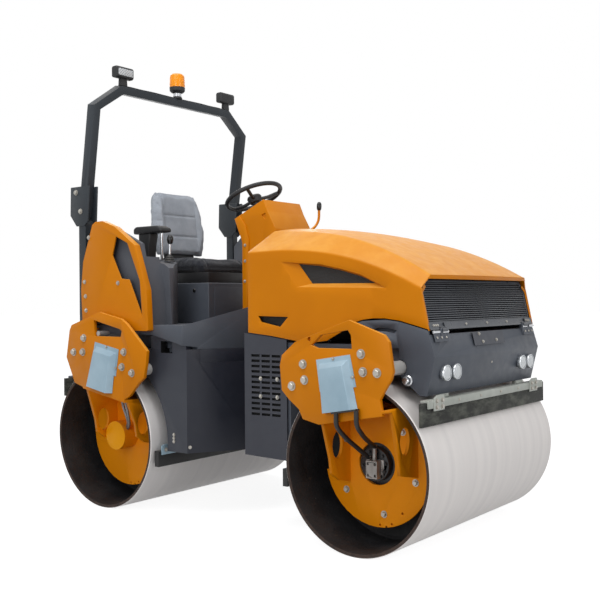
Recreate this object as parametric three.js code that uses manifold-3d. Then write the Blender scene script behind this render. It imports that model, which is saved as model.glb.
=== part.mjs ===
// Articulated tandem road roller with a foldable roll bar.
// Millimetres, +X forward, +Y left, +Z up, origin on the ground midway between the drums.
import * as THREE from 'three';
import { mergeVertices } from 'three/addons/utils/BufferGeometryUtils.js';
import Module from 'manifold-3d';

const wasm = await Module();
wasm.setup();

// ---------------------------------------------------------------- driving dimensions
const seat0 = 0.3;               // gap between faces that touch on the real machine
const runGap = 6;                // clearance beside a piece that moves

const wheelbase = 1750;          // drum axis to drum axis
const drumRadius = 400;
const drumWidth = 1300;
const drumWall = 18;
const drumWebInset = 330;        // drum end to its web plate
const drumWebWall = 20;
const drumHubRadius = 120;
const manholeRadius = 60;
const manholeCount = 3;
const drumSides = 72;            // facets round a drum
const stubRadius = 40;           // drum's axle stub
const stubReach = 26;            // stub past the hub's end
const drumGap = 45;              // drum to the frame over it

const yokePlate = 20;            // plate of the yokes
const yokeOverhang = 50;         // outer face of a yoke plate past the drum's end
const yokeInset = 190;           // disc's outer face in from the drum's end
const yokeDiscRadius = 300;
const motorHoleRadius = 101;
const shelfStart = 200;          // drum axis back to where the shelf's height is given
const shelfReach = 228;          // drum axis forward to the front shelf's end
const shelfSlope = 10;           // degrees, lower edge of the bracket
const shelfPlate = 14;
const stubTubeRadius = 32;       // tubes that carry a bracket on the frame

const frameInset = 115;          // side of both chassis in from the drum's end
const frameHalf = drumWidth / 2 - frameInset;
const hoodHalf = frameHalf + 15; // half width of the hood and the end panels
const hoodWall = 8;
const deckInset = 30;            // side of the operator's deck in from the drum's end
const deckHalf = drumWidth / 2 - deckInset;
const chassisHeight = 70;        // beam over each drum
const chassisFloor = drumRadius * 2 + drumGap;
const chassisTop = chassisFloor + chassisHeight;
const deckRise = 130;            // top of the deck above the frame
const deckTop = chassisTop + deckRise;
const tankHalf = deckHalf - 20;
const archGap = 78;              // drum to the tank's arch
const bodyFloor = 370;           // lowest edge of the bodies between the drums
const noseX = wheelbase / 2 + drumRadius - 29;   // crease of the end panels
const noseDepth = 186;
const noseFloor = drumRadius * 2 - 54;
const noseWall = 12;
const noseTop = chassisTop + 115;

const frontRear = 125;           // rear face of the front chassis
const rearFront = -45;           // front face of the rear chassis
const chamferInner = 250;        // half width where the chamfer of the rear body starts
const turnLimit = 30;            // degrees of steering each way

const pivotZ = 610;              // centre of the articulation
const pinRadius = 30;
const lugWall = 25;
const lugTip = 38;
const lugGap = 160;              // between the two lugs
const spindleRadius = 48;

const hoodHingeX = noseX - 24;
const hoodHingeZ = noseTop + 6;
const hoodLong = hoodHingeX - frontRear - 25;    // hinge to the hood's rear edge

const ropsHalf = deckHalf + 30;  // outer face of the roll bar
const ropsWide = 50;
const ropsDeep = 60;
const ropsPinX = 201 - noseX;
const ropsPinZ = deckTop + 655;
const ropsTopZ = ropsPinZ + 760;
const ropsKneeZ = ropsTopZ - 142;
const ropsCornerHalf = ropsHalf - 190;
const ropsLean = 8;              // degrees

const cheekWall = 10;
const cheekGap = 1.5;            // roll bar to each cheek
const ropsPinRadius = 12;
const ropsPostGap = 55;          // hinge pin to the top of a lower post

const grilleHalf = hoodHalf - hoodWall - seat0;
const grilleShoulder = 176;
const grilleTopHalf = grilleHalf - 43.7;
const grilleHigh = 225;
const grilleWall = 12;
const grilleX = hoodHingeX - 26;
const grilleZ = hoodHingeZ + 8;
const hingeOut = hoodHalf - 97;  // hood hinges, from the middle
const hingeIn = hingeOut - 46;
const hingeRadius = 13;
const hingePinRadius = 8;
const grilleFoot = 14;
const grilleRows = 16;
const grillePitch = 11.5;
const grilleSlot = 6;
const grilleLean = 12;           // degrees
const toeRise = 110;             // height of the toe board at the front
const toeWall = 12;
const fenderFace = deckHalf + 40;
const fenderPlate = 9;
const consoleOuter = deckHalf - 120;
const consoleInner = deckHalf - 285;
const armrestY = -(consoleInner + consoleOuter) / 2 + 11;
const gripTop = deckTop + 375;   // top of the inner side consoles
const dashHalf = 165;
const wheelStand = 128;          // console to the steering wheel's plane

const seatHalf = 240;
const seatRise = 235;            // deck to the top of the seat's pedestal
const wheelRadius = 164;         // steering wheel


// Height of the rear shelf's start over the drum's axis, for which both shelves clear the shell.
const shelfHigh = Math.sqrt((drumRadius - drumWall - 4.7) ** 2 - shelfReach ** 2)
  - shelfPlate - (shelfStart + shelfReach) * Math.tan(shelfSlope * Math.PI / 180) + 13;
const axisDown = drumRadius - chassisFloor;      // drum's axis from the frame's underside
const rearShelf = axisDown + shelfHigh;
const frontShelf = rearShelf - 19;
const ribPlate = 16;
const ribLow = 150;              // reach of a rib's foot past the disc
const ribHole = 40;
const bearingRadius = stubRadius + 0.4;
const hubCapRadius = 82;
const hubCapReach = 100;
const motorFlange = 14;
const motorFlangeRadius = 130;
const motorRadius = 80;
const motorReach = 20;
const portReach = 40;
const portHigh = 42;
const portAhead = 8;             // drum's axis to the middle of the port block
const portDown = 19;
const hoseRadius = 11;
const coverFlange = 4;
const coverDepth = 45;

const housingDepth = 170;        // bearing of the oscillating spindle
const housingHalf = 110;
const steerArm = 140;            // pivot to the steering cylinder's pin
const cylinderY = 131;
const barrelRadius = 27;
const barrelMouth = 112;
const pistonRadius = 14;
const eyeRadius = 21;
const earLow = 24;
const earHigh = 40;
const innerScraperZ = 320;

const noseCreaseZ = noseTop - 112;
const noseUndercut = 42;         // set-back of the end panels' lower edge
const noseLean = noseUndercut / (noseCreaseZ - noseFloor);
const lampZ = noseCreaseZ - 72;
const lampY = hoodHalf - 160;
const scraperHalf = drumWidth / 2 - 45;
const scraperTop = noseFloor - 14;
const bladeWall = 16;
const bladeX = noseX - 20;
const bladeHalf = drumWidth / 2 - 5;
const bladeFloor = drumRadius
  + Math.sqrt((drumRadius + runGap) ** 2 - (bladeX - bladeWall / 2 - wheelbase / 2) ** 2);

const louvreWall = 12;
const louvreX = frontRear + 47;
const louvreZ = bodyFloor + 222;
const louvrePitchX = 68;
const louvrePitchZ = 27;
const louvreLong = 56;
const louvreHigh = 14;
const louvreRows = Math.floor((chassisTop - 20 - louvreZ) / louvrePitchZ);
const louvreColumns = Math.floor((wheelbase / 2 - drumRadius - 63 - louvreX) / louvrePitchX);
const engineRear = frontRear + 325;
const engineLong = noseX - noseDepth - 50 - engineRear;
const engineHalf = 260;
const engineHigh = 380;

const drumX = wheelbase / 2;
const drumEnd = drumWidth / 2;
const bracketFace = drumEnd + yokeOverhang;      // outer face of the bracket plates
const bracketBack = bracketFace - yokePlate;
const discFace = drumEnd - yokeInset;            // outer face of the yoke discs
const discBack = discFace - yokePlate;
const hubEnd = discBack - 16;                    // end of the drum's hub

// ---------------------------------------------------------------- shapes
const rad = (degrees) => degrees * Math.PI / 180;

function outline(points) {
  const corners = points.map(([a, b]) => new THREE.Vector2(a, b));
  if (THREE.ShapeUtils.isClockWise(corners)) corners.reverse();
  return new THREE.Shape(corners);
}

function extrude(points, depth, holes = []) {
  const shape = outline(points);
  for (const hole of holes) shape.holes.push(outline(hole));
  return new THREE.ExtrudeGeometry(shape, { depth, bevelEnabled: false, curveSegments: 16 });
}

// A plate drawn in X and Z that reaches from y0 to y1.
function plateXZ(points, y0, y1, holes = []) {
  const low = Math.min(y0, y1);
  const geometry = extrude(points, Math.abs(y1 - y0), holes);
  geometry.rotateX(Math.PI / 2);
  return geometry.translate(0, low + Math.abs(y1 - y0), 0);
}

// A plate drawn in Y and Z that reaches from x0 to x1.
function plateYZ(points, x0, x1, holes = []) {
  const low = Math.min(x0, x1);
  const geometry = extrude(points, Math.abs(x1 - x0), holes);
  geometry.rotateX(Math.PI / 2).rotateZ(Math.PI / 2);
  return geometry.translate(low, 0, 0);
}

// A plate drawn in X and Y that reaches from z0 to z1.
function plateXY(points, z0, z1, holes = []) {
  return extrude(points, z1 - z0, holes).translate(0, 0, z0);
}

function block(x0, x1, y0, y1, z0, z1) {
  const geometry = new THREE.BoxGeometry(Math.abs(x1 - x0), Math.abs(y1 - y0), Math.abs(z1 - z0));
  return geometry.translate((x0 + x1) / 2, (y0 + y1) / 2, (z0 + z1) / 2);
}

function rodY(radius, y0, y1, x, z, sides = 24) {
  return new THREE.CylinderGeometry(radius, radius, Math.abs(y1 - y0), sides)
    .translate(x, (y0 + y1) / 2, z);
}

function rodX(radius, x0, x1, y, z, sides = 24) {
  return new THREE.CylinderGeometry(radius, radius, Math.abs(x1 - x0), sides)
    .rotateZ(Math.PI / 2).translate((x0 + x1) / 2, y, z);
}

function rodZ(radius, z0, z1, x, y, sides = 24) {
  return new THREE.CylinderGeometry(radius, radius, Math.abs(z1 - z0), sides)
    .rotateX(Math.PI / 2).translate(x, y, (z0 + z1) / 2);
}

// Turned about the Y axis. The profile's points are [radius, y], from low to high y.
function lathe(profile, sides) {
  return new THREE.LatheGeometry(profile.map(([r, y]) => new THREE.Vector2(r, y)), sides);
}

function circle(radius, x, z, sides = 24, stretch = 1) {
  const points = [];
  for (let i = 0; i < sides; i += 1) {
    const turn = 2 * Math.PI * i / sides;
    points.push([x + radius * Math.cos(turn), z + radius * stretch * Math.sin(turn)]);
  }
  return points;
}

function solid(geometry) {
  const bare = geometry.clone();
  bare.deleteAttribute('normal');
  bare.deleteAttribute('uv');
  const merged = mergeVertices(bare, 1e-3);
  const corners = merged.index.array;
  const kept = [];
  for (let i = 0; i < corners.length; i += 3) {
    const [a, b, c] = corners.slice(i, i + 3);
    if (a !== b && b !== c && c !== a) kept.push(a, b, c);
  }
  return new wasm.Manifold(new wasm.Mesh({
    numProp: 3,
    vertProperties: new Float32Array(merged.attributes.position.array),
    triVerts: new Uint32Array(kept),
  }));
}

function surface(body) {
  const mesh = body.getMesh();
  const geometry = new THREE.BufferGeometry();
  geometry.setAttribute('position', new THREE.BufferAttribute(mesh.vertProperties, 3));
  geometry.setIndex(new THREE.BufferAttribute(mesh.triVerts, 1));
  return geometry;
}

function join(...pieces) {
  return surface(pieces.map(solid).reduce((sum, piece) => sum.add(piece)));
}

function cut(piece, ...tools) {
  return surface(tools.map(solid).reduce((rest, tool) => rest.subtract(tool), solid(piece)));
}

// ---------------------------------------------------------------- finishes
const finish = (color, roughness, metalness) =>
  new THREE.MeshStandardMaterial({ color, roughness, metalness });
const yellow = finish(0xe08a1e, 0.4, 0.1);
const darkGrey = finish(0x45474d, 0.55, 0.2);
const tankGrey = finish(0x2c2e33, 0.5, 0.1);
const steel = finish(0xc4c2bf, 0.3, 0.9);
const zinc = finish(0xa3b4bd, 0.35, 0.9);
const black = finish(0x18181a, 0.6, 0.0);
const seatGrey = finish(0x9a9ca0, 0.8, 0.0);
const ropsGrey = finish(0x363d3d, 0.5, 0.3);
const barGrey = finish(0x9aa39a, 0.5, 0.5);
const rubber = finish(0x1d1d1d, 0.9, 0.0);
const amber = finish(0xf07a10, 0.3, 0.0);
const lamp = finish(0xe8e8e4, 0.2, 0.3);

const machine = new THREE.Group();
function add(name, geometry, material) {
  const mesh = new THREE.Mesh(geometry, material);
  mesh.name = name;
  machine.add(mesh);
  return mesh;
}

// Front and rear unit: dir is +1 or -1. In their outlines the first number is measured from
// the drum's axis outwards to that end of the machine, the second one up from the frame.
const units = {
  front: {
    dir: 1,
    bracket: [
      [14, 240], [202, 176], [227, 146], [247, 15], [236, -20], [199, -75], [178, -111],
      [190, frontShelf + 57], [-161, frontShelf - 5], [-255, frontShelf + 14], [-278, -181],
      [-339, -137], [-381, -97], [-392, 22], [-379, 70], [-299, 134],
    ],
    window: [[-204, 122], [-145, 170], [8, 195], [24, 173], [29, 110], [-169, 109]],
    cover: [[-172, 55], [20, 85], [75, -155], [-137, -191]],
    shelfLeft: frontShelf,
    ribs: [-160, shelfReach - 8],
    ribFoot: -60,
    tubes: [[drumRadius - 210, 23], [-310, -45]],
  },
  rear: {
    dir: -1,
    bracket: [
      [-32, 272], [-218, 234], [-267, 206], [-427, 62], [-418, -13], [-401, -84],
      [-361, -113], [-287, -187], [-238, rearShelf + 7], [79, rearShelf + 54],
      [187, rearShelf + 84], [214, -80], [259, 8], [229, 166], [210, 196], [56, 243],
    ],
    window: [[12, 226], [-209, 178], [-226, 167], [-217, 134], [5, 135]],
    cover: [[-202, 65], [0, 103], [62, -143], [-160, -185]],
    shelfLeft: rearShelf,
    ribs: [-235, 105],
    ribFoot: 0,
    tubes: [[drumRadius - 235, 33], [-330, -45]],
  },
};

const place = (unit, [u, h]) => [unit.dir * (drumX + u), chassisFloor + h];
const placed = (unit, points) => points.map((point) => place(unit, point));
const sides = { right: -1, left: 1 };

// ---------------------------------------------------------------- drums
function drum(unit) {
  const web = drumEnd - drumWebInset;
  const inner = drumRadius - drumWall;
  const half = [
    [drumRadius, drumEnd], [inner, drumEnd], [inner, web], [drumHubRadius, web],
    [drumHubRadius, hubEnd], [stubRadius, hubEnd], [stubRadius, hubEnd + stubReach],
    [0, hubEnd + stubReach],
  ];
  const shell = lathe([...half.map(([r, y]) => [r, -y]).reverse(), ...half], drumSides);
  const chamber = lathe([
    [drumHubRadius, drumWebWall - web], [inner, drumWebWall - web],
    [inner, web - drumWebWall], [drumHubRadius, web - drumWebWall],
    [drumHubRadius, drumWebWall - web],
  ], drumSides);
  const holes = [];
  const middle = (inner + drumHubRadius) / 2;
  for (let i = 0; i < manholeCount; i += 1) {
    const turn = 2 * Math.PI * (i + 0.5) / manholeCount;
    holes.push(rodY(manholeRadius, -web - 1, web + 1,
      middle * Math.cos(turn), middle * Math.sin(turn), 12));
  }
  return cut(shell, chamber, ...holes).translate(unit.dir * drumX, 0, drumRadius);
}
add('front_drum', drum(units.front), steel);
add('rear_drum', drum(units.rear), steel);

// ---------------------------------------------------------------- yokes
// A bracket plate outside the frame, folded in under a shelf to a disc inside the drum.
function yoke(unit, side) {
  const outer = side * bracketFace;
  const bracket = plateXZ(placed(unit, unit.bracket), outer, side * bracketBack,
    [placed(unit, unit.window)]);
  const slope = Math.tan(rad(shelfSlope));
  const shelf = (u) => unit.shelfLeft + (u + shelfStart) * slope;
  const [near, far] = [unit.ribs[0] - ribPlate / 2, unit.ribs[1] + ribPlate / 2];
  const floor = plateXZ(placed(unit, [
    [near, shelf(near)], [far, shelf(far)],
    [far, shelf(far) + shelfPlate], [near, shelf(near) + shelfPlate],
  ]), outer, side * discBack);
  const web = plateXZ(placed(unit, [
    [near, axisDown], [far, axisDown], [far, shelf(far) + 1], [near, shelf(near) + 1],
  ]), side * discFace, side * discBack);
  const disc = plateXZ(circle(yokeDiscRadius, unit.dir * drumX, drumRadius, 40),
    side * discFace, side * discBack);
  const ribs = unit.ribs.map((u) => {
    const x = unit.dir * (drumX + u);
    const foot = drumRadius + unit.ribFoot;
    const top = chassisFloor + shelf(u) + shelfPlate / 2;
    return plateYZ([
      [side * (discFace - 5), foot - 40], [side * (discFace + ribLow - 60), foot - 20],
      [side * (discFace + ribLow), foot + 20], [side * (discFace + ribLow + 10), foot + 90],
      [side * bracketBack, top], [side * (discFace - 5), top],
    ], x - ribPlate / 2, x + ribPlate / 2,
    [circle(ribHole, side * (discFace + 105), drumRadius + 90, 16, 1.6)]);
  });
  const body = join(bracket, floor, web, disc, ...ribs);
  const bore = rodY(unit.dir > 0 ? motorHoleRadius : bearingRadius,
    side * (discBack - 1), side * (discFace + (unit.dir > 0 ? 1 : -4)),
    unit.dir * drumX, drumRadius, 32);
  if (unit.dir > 0) return cut(body, bore);
  const cap = rodY(hubCapRadius, side * (discFace - 5), side * (discFace + hubCapReach),
    unit.dir * drumX, drumRadius, 32);
  return cut(join(body, cap), bore);
}

// The zinc-plated box on a bracket plate, with a sloped top.
function yokeCover(unit, side) {
  const [rearTop, frontTop, frontLow, rearLow] = unit.cover;
  const lip = (a, b) => [a[0] + (b[0] - a[0]) * 0.12, a[1] + (b[1] - a[1]) * 0.12];
  const base = plateXZ(placed(unit, unit.cover), side * (bracketFace + seat0),
    side * (bracketFace + coverFlange));
  const box = plateXZ(placed(unit, [
    lip(rearTop, rearLow), lip(frontTop, frontLow), frontLow, rearLow,
  ]), side * (bracketFace + seat0), side * (bracketFace + coverDepth));
  return join(base, box);
}

for (const [end, unit] of Object.entries(units)) {
  for (const [hand, side] of Object.entries(sides)) {
    add(`${end}_yoke_${hand}`, yoke(unit, side), yellow);
    add(`${end}_yoke_cover_${hand}`, yokeCover(unit, side), zinc);
  }
}

// Hydraulic drum motors of the front unit: flange behind the disc, body through its hole.
function drumMotor(side) {
  const flangeFace = discBack - seat0;
  const motor = lathe([
    [bearingRadius, flangeFace - motorFlange], [motorFlangeRadius, flangeFace - motorFlange],
    [motorFlangeRadius, flangeFace], [motorRadius, flangeFace],
    [motorRadius, discFace + motorReach], [0, discFace + motorReach],
    [0, discBack + 14], [bearingRadius, discBack + 14],
    [bearingRadius, flangeFace - motorFlange],
  ], 32);
  const turned = side > 0 ? motor : motor.rotateX(Math.PI);
  const port = block(-portHigh, portHigh, side * (discFace + motorReach - 4),
    side * (discFace + motorReach + portReach), -portHigh, portHigh);
  return join(turned, port.translate(portAhead, 0, -portDown)).translate(drumX, 0, drumRadius);
}

// Two pressure hoses that come out of a rubber gland under the bracket's cover and go round
// the edge of the bracket, under the shelf, down to fittings on the motor's port block.
function drumHoses(side) {
  const blockTop = drumRadius - portDown + portHigh;
  const port = side * (discFace + motorReach + portReach / 2);
  const [, , [lowU, lowH], [highU, highH]] = units.front.cover;
  const coverFoot = (u) => highH + (lowH - highH) * (u - highU) / (lowU - highU);
  const [first, last] = [-62, 74];
  const gland = plateXZ(placed(units.front, [
    [first, coverFoot(first) - seat0], [last, coverFoot(last) - seat0],
    [last, coverFoot(last) - 8], [first, coverFoot(first) - 8],
  ]), side * (bracketFace + 6), side * (bracketFace + 40));
  const edge = chassisFloor + units.front.shelfLeft - 4;
  const hoses = [[-44, -60, -20, 14], [67, 52, 14, 68]].map(([start, middle, stop, rise]) => {
    const path = new THREE.CatmullRomCurve3([
      new THREE.Vector3(drumX + start, side * (bracketFace + 23),
        chassisFloor + coverFoot(start) - 4),
      new THREE.Vector3(drumX + start - 4, side * (bracketFace + 14), edge),
      new THREE.Vector3(drumX + middle, side * (bracketFace - 92), edge - 58),
      new THREE.Vector3(drumX + stop - 6, port + side * 32, blockTop + rise + 24),
      new THREE.Vector3(drumX + stop, port, blockTop + rise - 4),
    ]);
    const section = circle(hoseRadius, 0, 0, 8);
    return new THREE.ExtrudeGeometry(outline(section), { steps: 12, extrudePath: path });
  });
  const fittings = [[-20, 14], [14, 68]].map(([stop, rise]) => rodZ(hoseRadius + 2,
    blockTop + seat0, blockTop + rise + 4, drumX + stop, port, 8));
  return join(gland, ...fittings, ...hoses);
}

for (const [hand, side] of Object.entries(sides)) {
  add(`front_drum_motor_${hand}`, drumMotor(side), darkGrey);
  add(`front_hoses_${hand}`, drumHoses(side), rubber);
}

// The hood is drawn from its hinge, the first number to the rear and the second one up.
const fromHinge = (points) => points.map(([back, up]) => [hoodHingeX - back, hoodHingeZ + up]);
const hoodEdge = [
  [hoodLong + 60, -18], [hoodLong, -24], [hoodLong - 150, -38], [752, -61], [572, -56], [422, 30], [362, 47],
  [237, 54], [156, 44], [77, 24], [-78, -16],
];

// The hood's lower edge from x0 to x1, lowered by the gap to the sheet metal under it.
function belowHood(x0, x1) {
  const edge = fromHinge(hoodEdge);
  const height = (x) => {
    const i = edge.findIndex((point, j) => j > 0 && point[0] >= x);
    const [[xa, za], [xb, zb]] = [edge[i - 1], edge[i]];
    return za + (zb - za) * (x - xa) / (xb - xa);
  };
  const between = edge.filter(([x]) => x > x0 && x < x1);
  return [[x0, height(x0)], ...between, [x1, height(x1)]].map(([x, z]) => [x, z - runGap]);
}

// ---------------------------------------------------------------- chassis
function tubePair(unit, at, radius = stubTubeRadius) {
  const [x, z] = place(unit, at);
  return [-1, 1].map((side) =>
    rodY(radius, side * (frameHalf - 30), side * (bracketBack - seat0), x, z, 20));
}

function tubePads(unit, at) {
  const [x, z] = place(unit, at);
  return [-1, 1].map((side) => block(x - 45, x + 45, side * (frameHalf - 30), side * frameHalf,
    z - 45, z + 60));
}

const beamEnd = noseX - noseDepth - seat0;
const bayFront = drumX - drumRadius - drumGap - 15;

// Scraper on the drum's side towards the machine's middle, on a leg under the body.
function innerScraper(dir) {
  const tip = drumX - drumRadius - runGap - 1;
  return [
    block(dir * (tip - 30), dir * tip, -drumEnd + 20, drumEnd - 20, innerScraperZ - 48,
      bodyFloor - 12),
    block(dir * (bayFront - 80), dir * (tip - 20), -320, 320, bodyFloor - 30, bodyFloor + 20),
  ];
}

function frontChassis() {
  const beam = block(bayFront - 5, beamEnd, -frameHalf, frameHalf,
    chassisFloor, chassisTop + 50);
  const bay = block(frontRear, bayFront, -frameHalf, frameHalf, bodyFloor + 15, chassisTop + 50);
  const bayHollow = block(frontRear + lugWall, bayFront - lugWall, -frameHalf - 1, frameHalf + 1,
    bodyFloor + 15 + lugWall, chassisTop + 25);
  const lugs = [-1, 1].map((s) => {
    const low = pivotZ + s * (lugGap + lugWall) / 2 - lugWall / 2;
    const tip = [105, 135, 165, 195, 225, 255].map((turn) =>
      [lugTip * Math.cos(rad(turn)), lugTip * Math.sin(rad(turn))]);
    return plateXY([[frontRear + 2, -110], [frontRear + 2, 110], ...tip], low, low + lugWall);
  });
  const cheeks = [-1, 1].map((side) => plateXZ([
    [noseX - 420, chassisTop + 40], ...belowHood(noseX - 420, beamEnd),
    [beamEnd, chassisTop + 40],
  ], side * (frameHalf - 20), side * hoodHalf));
  const [wiper, wiperLeg] = innerScraper(1);
  const pin = rodZ(pinRadius, pivotZ - lugGap / 2 - lugWall - 14, pivotZ + lugGap / 2 + lugWall + 14,
    0, 0, 24);
  const barrelWindow = block(frontRear - 1, frontRear + lugWall + 1, cylinderY - 61,
    cylinderY + 69, pivotZ - 74, pivotZ + 74);
  const [outer, inner] = units.front.tubes;
  const body = cut(join(beam, bay, ...lugs, ...cheeks, ...tubePair(units.front, outer),
    ...tubePads(units.front, inner), ...tubePair(units.front, inner)), bayHollow, barrelWindow);
  return join(body, wiper, wiperLeg, pin);
}

add('front_chassis', frontChassis(), darkGrey);

// Plan of the bodies behind the articulation, with both front corners cut back for steering.
const chamferX = (half) => rearFront - (half - chamferInner) * Math.tan(rad(turnLimit));
const rearPlan = (half, back) => [
  [-back, -half], [chamferX(half), -half], [rearFront, -chamferInner],
  [rearFront, chamferInner], [chamferX(half), half], [-back, half],
];

function rearChassis() {
  const beam = plateXY(rearPlan(frameHalf, beamEnd), chassisFloor, chassisTop);
  const housing = block(rearFront - housingDepth, rearFront, -housingHalf, housingHalf,
    pivotZ - housingHalf, chassisFloor + 1);
  const bore = rodX(spindleRadius + 0.5, rearFront - housingDepth + 15, rearFront + 1, 0, pivotZ,
    32);
  return cut(join(beam, housing, ...tubePair(units.rear, units.rear.tubes[0])), bore);
}
add('rear_chassis', rearChassis(), darkGrey);

// Solid body of the water and fuel tanks, hollowed over the rear drum.
function rearTank() {
  const body = plateXY(rearPlan(tankHalf, drumX - 200), bodyFloor - 10, chassisTop);
  const beamBed = plateXY([[-drumX, -frameHalf - seat0], [rearFront + 9, -frameHalf - seat0],
    [rearFront + 9, frameHalf + seat0], [-drumX, frameHalf + seat0]],
  chassisFloor - seat0, chassisTop + 9);
  const arch = rodY(drumRadius + archGap, -drumEnd - 9, drumEnd + 9, -drumX, drumRadius, 72);
  const notch = block(rearFront - housingDepth - 8, rearFront + 1, -housingHalf - 8,
    housingHalf + 8, pivotZ - housingHalf - 8, chassisFloor);
  const behind = block(-drumX - 300, -drumX + 150, -drumEnd, drumEnd, 0, chassisFloor);
  const [wiper, wiperLeg] = innerScraper(-1);
  return join(cut(body, beamBed, arch, notch, behind), wiper, wiperLeg,
    ...tubePair(units.rear, units.rear.tubes[1]));
}
add('rear_tank', rearTank(), tankGrey);

function pivotLink() {
  const half = lugGap / 2 - runGap;
  const knuckle = block(-35, 40, -48, 48, pivotZ - half, pivotZ + half);
  const spindle = rodX(spindleRadius, rearFront - housingDepth + 22, -30, 0, pivotZ, 32);
  const ears = [-1, 1].flatMap((s) => [
    block(-25, 25, 20, steerArm + 22, pivotZ + s * earLow, pivotZ + s * earHigh),
    rodZ(16, pivotZ + s * (earHigh - 1), pivotZ + s * (earHigh + 9), 0, steerArm, 16),
  ]);
  const bore = rodZ(pinRadius + 0.5, pivotZ - half - 1, pivotZ + half + 1, 0, 0, 32);
  return cut(join(knuckle, spindle, ...ears), bore);
}
add('pivot_link', pivotLink(), darkGrey);

// Steering cylinder, beside the pivot on the left. It lies along X at rest.
function steerBarrel() {
  const head = bayFront - lugWall - seat0;
  const tube = rodX(barrelRadius, barrelMouth, head - 20, cylinderY, pivotZ, 24);
  const foot = block(head - 40, head, cylinderY - 32, cylinderY + 32, pivotZ - 32, pivotZ + 32);
  const bore = rodX(pistonRadius + 0.9, barrelMouth - 1, head - 60, cylinderY, pivotZ, 24);
  return cut(join(tube, foot), bore);
}
function steerRod() {
  const rod = rodX(pistonRadius, 12, barrelMouth + 105, cylinderY, pivotZ, 20);
  const eye = rodZ(eyeRadius, pivotZ - earLow + 2, pivotZ + earLow - 2, 0, cylinderY, 24);
  return join(rod, eye);
}
add('steer_barrel', steerBarrel(), black);
add('steer_rod', steerRod(), steel);

// ---------------------------------------------------------------- end panels and scrapers
// The folded panel over the end of a drum, open towards the frame.
function nosePanel(dir, top) {
  const x = (value) => dir * value;
  const back = noseX - noseDepth;
  const panel = plateXZ([
    [x(back), top], [x(noseX - 30), top], [x(noseX), noseCreaseZ],
    [x(noseX - noseUndercut), noseFloor], [x(noseX - noseUndercut - 38), noseFloor], [x(back), chassisFloor - 12],
  ], -hoodHalf, hoodHalf);
  const hollow = plateXZ([
    [x(back - 1), top - noseWall], [x(noseX - 40), top - noseWall],
    [x(noseX - noseWall), noseCreaseZ],
    [x(noseX - noseUndercut - 10), noseFloor + noseWall],
    [x(noseX - noseUndercut - 32), noseFloor + noseWall], [x(back - 1), chassisFloor + 6],
  ], -hoodHalf + noseWall, hoodHalf - noseWall);
  const unit = dir > 0 ? units.front : units.rear;
  const [tubeX, tubeZ] = place(unit, unit.tubes[0]);
  const notches = [-1, 1].map((side) => rodY(stubTubeRadius + 4, side * (frameHalf - 40),
    side * (hoodHalf + 9), tubeX, tubeZ, 24));
  return cut(panel, hollow, ...notches);
}
function frontPanel() {
  const shoulders = [-1, 1].map((side) => plateXZ([
    [noseX - noseDepth, noseTop - 40], ...belowHood(noseX - noseDepth, noseX - 35),
    [noseX - 31, noseTop - 15], [noseX - 36, noseTop - 40],
  ], side * (hoodHalf - noseWall), side * hoodHalf));
  const fixtures = [-1, 1].flatMap((side) => [
    rodY(hingePinRadius, side * (hingeIn - 12), side * (hingeOut + 12), hoodHingeX, hoodHingeZ, 16),
    ...[hingeIn - 12, hingeOut + 2].map((y) => block(hoodHingeX - 12, hoodHingeX + 8, side * y,
      side * (y + 10), hoodHingeZ - 50, hoodHingeZ + 9)),
  ]);
  return join(nosePanel(1, noseTop - 12), ...shoulders, ...fixtures);
}
add('front_panel', frontPanel(), darkGrey);
add('rear_panel', nosePanel(-1, deckTop), darkGrey);

// Scraper bar with its hangers and a rubber blade that hangs just clear of the drum.
function scraper(dir) {
  const bar = block(dir * (noseX - 44), dir * noseX, -scraperHalf, scraperHalf,
    scraperTop - 34, scraperTop);
  const blade = block(dir * (bladeX - bladeWall / 2), dir * (bladeX + bladeWall / 2), -bladeHalf, bladeHalf,
    bladeFloor, scraperTop - 20);
  const hangers = [-400, 400].map((y) => block(dir * (noseX - 64), dir * (noseX - 38),
    y - 40, y + 40, scraperTop - 10, noseFloor - seat0));
  return join(bar, blade, ...hangers);
}
add('front_scraper', scraper(1), barGrey);
add('rear_scraper', scraper(-1), barGrey);

// Twin work lamps in one housing on each side of the front panel.
for (const [hand, side] of Object.entries(sides)) {
  const lamps = [-56, 56].map((y) => rodX(44, noseX - 20, noseX + 10, side * lampY + y, lampZ, 24));
  const back = block(noseX - 14, noseX - 4, side * lampY - 60, side * lampY + 60, lampZ - 30,
    lampZ + 30);
  const face = plateXZ([
    [noseX - 90, lampZ - 60], [noseX - 90, noseCreaseZ], [noseX + 0.4, noseCreaseZ],
    [noseX + 0.4 - noseLean * (noseCreaseZ - lampZ + 60), lampZ - 60],
  ], side * lampY - 120, side * lampY + 120);
  add(`headlamps_${hand}`, cut(join(...lamps, back), face), lamp);
}

// ---------------------------------------------------------------- louvred side panels
function louvrePanel(side) {
  const inner = side * (frameHalf + seat0);
  const slots = [];
  for (let row = 0; row < louvreRows; row += 1) {
    for (let column = 0; column < louvreColumns; column += 1) {
      const x = louvreX + column * louvrePitchX;
      const z = louvreZ + row * louvrePitchZ;
      slots.push(block(x, x + louvreLong, inner - side * 9, inner + side * (louvreWall + 9),
        z, z + louvreHigh));
    }
  }
  return cut(plateXZ([
    [bayFront - 15, bodyFloor + 8], [frontRear - 5, bodyFloor + 15],
    ...belowHood(frontRear - 5, bayFront - 15),
  ], inner, inner + side * louvreWall), ...slots);
}
for (const [hand, side] of Object.entries(sides)) {
  add(`louvre_panel_${hand}`, louvrePanel(side), darkGrey);
}

add('engine_block', block(engineRear, engineRear + engineLong, -engineHalf, engineHalf,
  chassisTop + 50 + seat0, chassisTop + 50 + engineHigh), black);

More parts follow.
